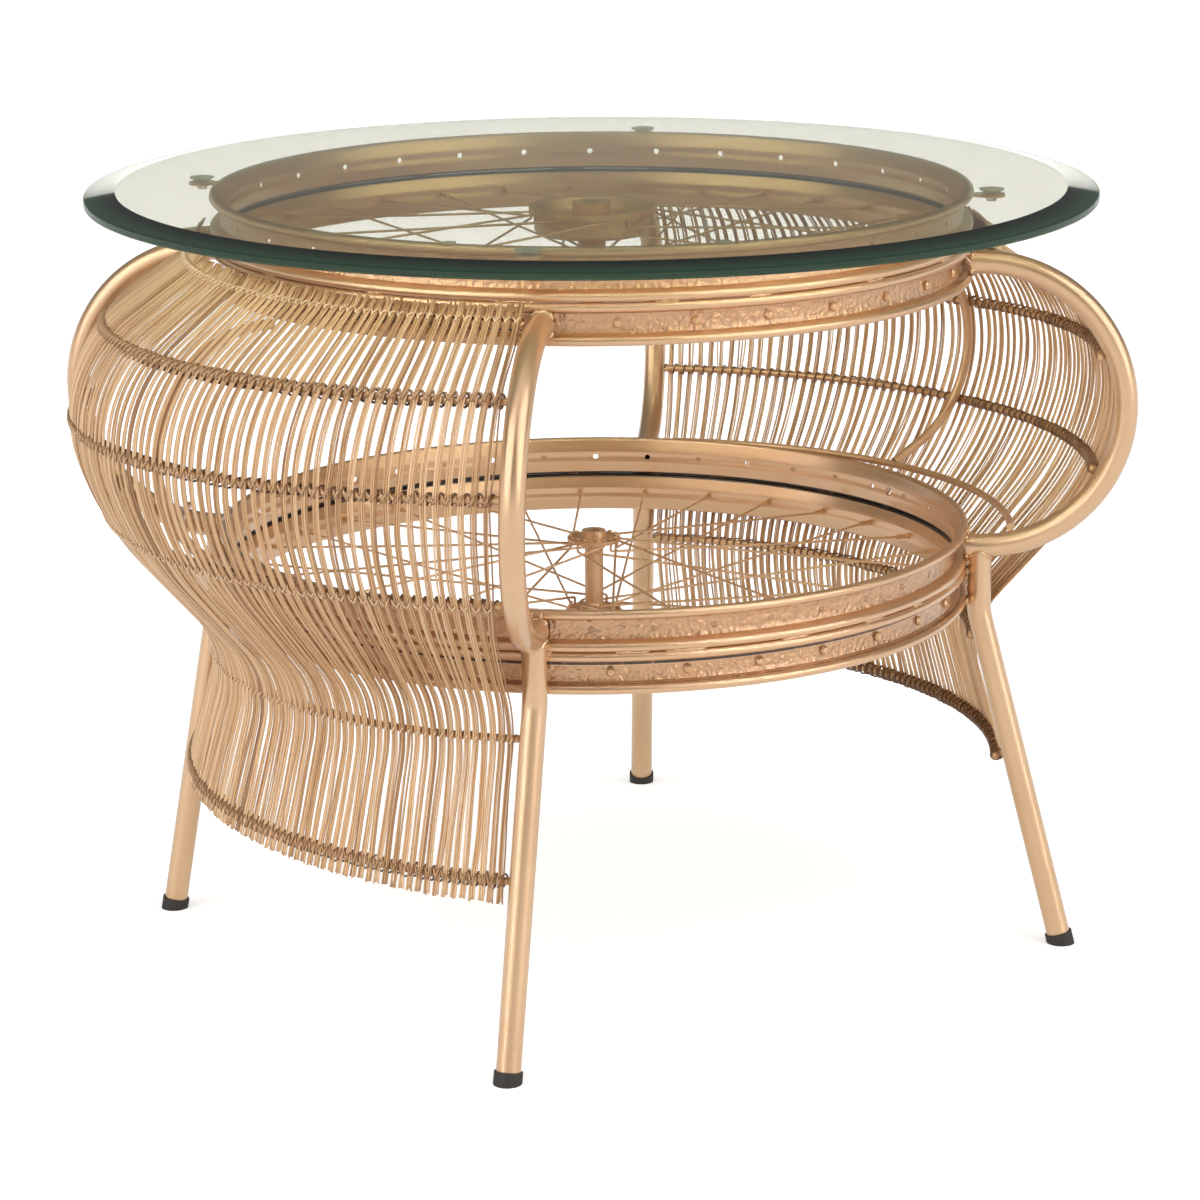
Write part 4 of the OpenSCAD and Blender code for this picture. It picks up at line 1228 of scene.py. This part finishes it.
def floor():
    """A wide pale floor, white to the eye, that keeps the table's shadow."""
    mesh = bpy.data.meshes.new("floor")
    h = FLOOR_HALF
    mesh.from_pydata([(-h, -h, 0), (h, -h, 0), (h, h, 0), (-h, h, 0)], [], [(0, 1, 2, 3)])
    plane = add_object("floor", mesh)
    mat, tree, out = new_material("floor_white")
    shader = tree.nodes.new("ShaderNodeBsdfDiffuse")
    put(shader, {"Color": FLOOR_GREY})
    glow = tree.nodes.new("ShaderNodeEmission")
    path, seen, through = seen_path(tree)
    gloss = pick(tree, path, "Is Glossy Ray", 0.0, FLOOR_GLOSS)
    strength = pick(tree, seen, "Value", gloss.outputs["Result"], FLOOR_GLOW)
    shine(tree, glow, strength, through)
    both = tree.nodes.new("ShaderNodeAddShader")
    link(tree, shader, "BSDF", both, 0)
    link(tree, glow, "Emission", both, 1)
    link(tree, both, "Shader", out, "Surface")
    mesh.materials.append(mat)


def world():
    """White to the eye and through glass. Gloss sees it white at the horizon and dim higher up."""
    w = bpy.data.worlds.new("studio")
    bpy.context.scene.world = w
    w.use_nodes = True
    tree = w.node_tree
    tree.nodes.clear()
    out = tree.nodes.new("ShaderNodeOutputWorld")
    light = tree.nodes.new("ShaderNodeBackground")
    coords = tree.nodes.new("ShaderNodeTexCoord")
    parts = tree.nodes.new("ShaderNodeSeparateXYZ")
    link(tree, coords, "Generated", parts, "Vector")
    height = map_range(tree, parts, "Z", DIM_RANGE, (GLOSS_LOW, GLOSS_HIGH))
    path, seen, through = seen_path(tree)
    gloss = pick(tree, path, "Is Glossy Ray", WORLD_LIGHT, height.outputs["Result"])
    strength = pick(tree, seen, "Value", gloss.outputs["Result"], 1.0)
    shine(tree, light, strength, through)
    link(tree, light, "Background", out, "Surface")


# Each lamp: its strength, its spread, the side that it shines from and its height there
LAMPS = {
    "left": (1.38, 58, 180, 26),
    "right": (1.38, 58, 292, 28),
    "top": (0.5, 60, 235, 70),
}


def sun(name, strength, spread, from_azimuth, elevation):
    """A soft lamp, which the flat glass doesn't mirror."""
    data = bpy.data.lights.new(name, "SUN")
    data.energy = strength
    data.angle = math.radians(spread)
    data.cycles.use_multiple_importance_sampling = False
    lamp = add_object(name, data)
    back = Vector((cos(from_azimuth) * cos(elevation), sin(from_azimuth) * cos(elevation), sin(elevation)))
    lamp.rotation_mode = "QUATERNION"
    lamp.rotation_quaternion = (-back).to_track_quat("-Z", "Y")


# Camera: where it stands round the table, how far off and how high, and how it is turned, in radians.
# CAMERA_F is its focal length in the photograph's pixels
CAMERA_TURN = -36.8
CAMERA_D = 3086.9
CAMERA_H = 1084.7
CAMERA_PITCH = 0.256586
CAMERA_YAW = 0.00151
CAMERA_ROLL = -0.006609
CAMERA_F = 3919.0
PHOTO_W = 1200
SENSOR = 36.0


def camera():
    """The camera, at the photograph's place and angle."""
    data = bpy.data.cameras.new("camera")
    data.sensor_width = SENSOR
    data.lens = CAMERA_F / PHOTO_W * SENSOR
    data.clip_end = 200
    cam = add_object("camera", data)
    cp, sp = math.cos(CAMERA_PITCH), math.sin(CAMERA_PITCH)
    forward = Vector((math.sin(CAMERA_YAW) * cp, math.cos(CAMERA_YAW) * cp, -sp))
    right = Vector((math.cos(CAMERA_YAW), -math.sin(CAMERA_YAW), 0))
    upward = right.cross(forward)
    cr, sr = math.cos(CAMERA_ROLL), math.sin(CAMERA_ROLL)
    rolled_right = cr * right + sr * upward
    rolled_up = -sr * right + cr * upward
    turn = Matrix.Rotation(math.radians(CAMERA_TURN), 4, "Z")
    pose = Matrix((rolled_right, rolled_up, -forward)).transposed().to_4x4()
    pose.translation = Vector((0, -CAMERA_D, CAMERA_H)) * MM
    cam.matrix_world = turn @ pose
    bpy.context.scene.camera = cam


build()
floor()
world()
for lamp_name, lamp_values in LAMPS.items():
    sun(lamp_name, *lamp_values)
camera()
bpy.context.scene.view_settings.view_transform = "Standard"
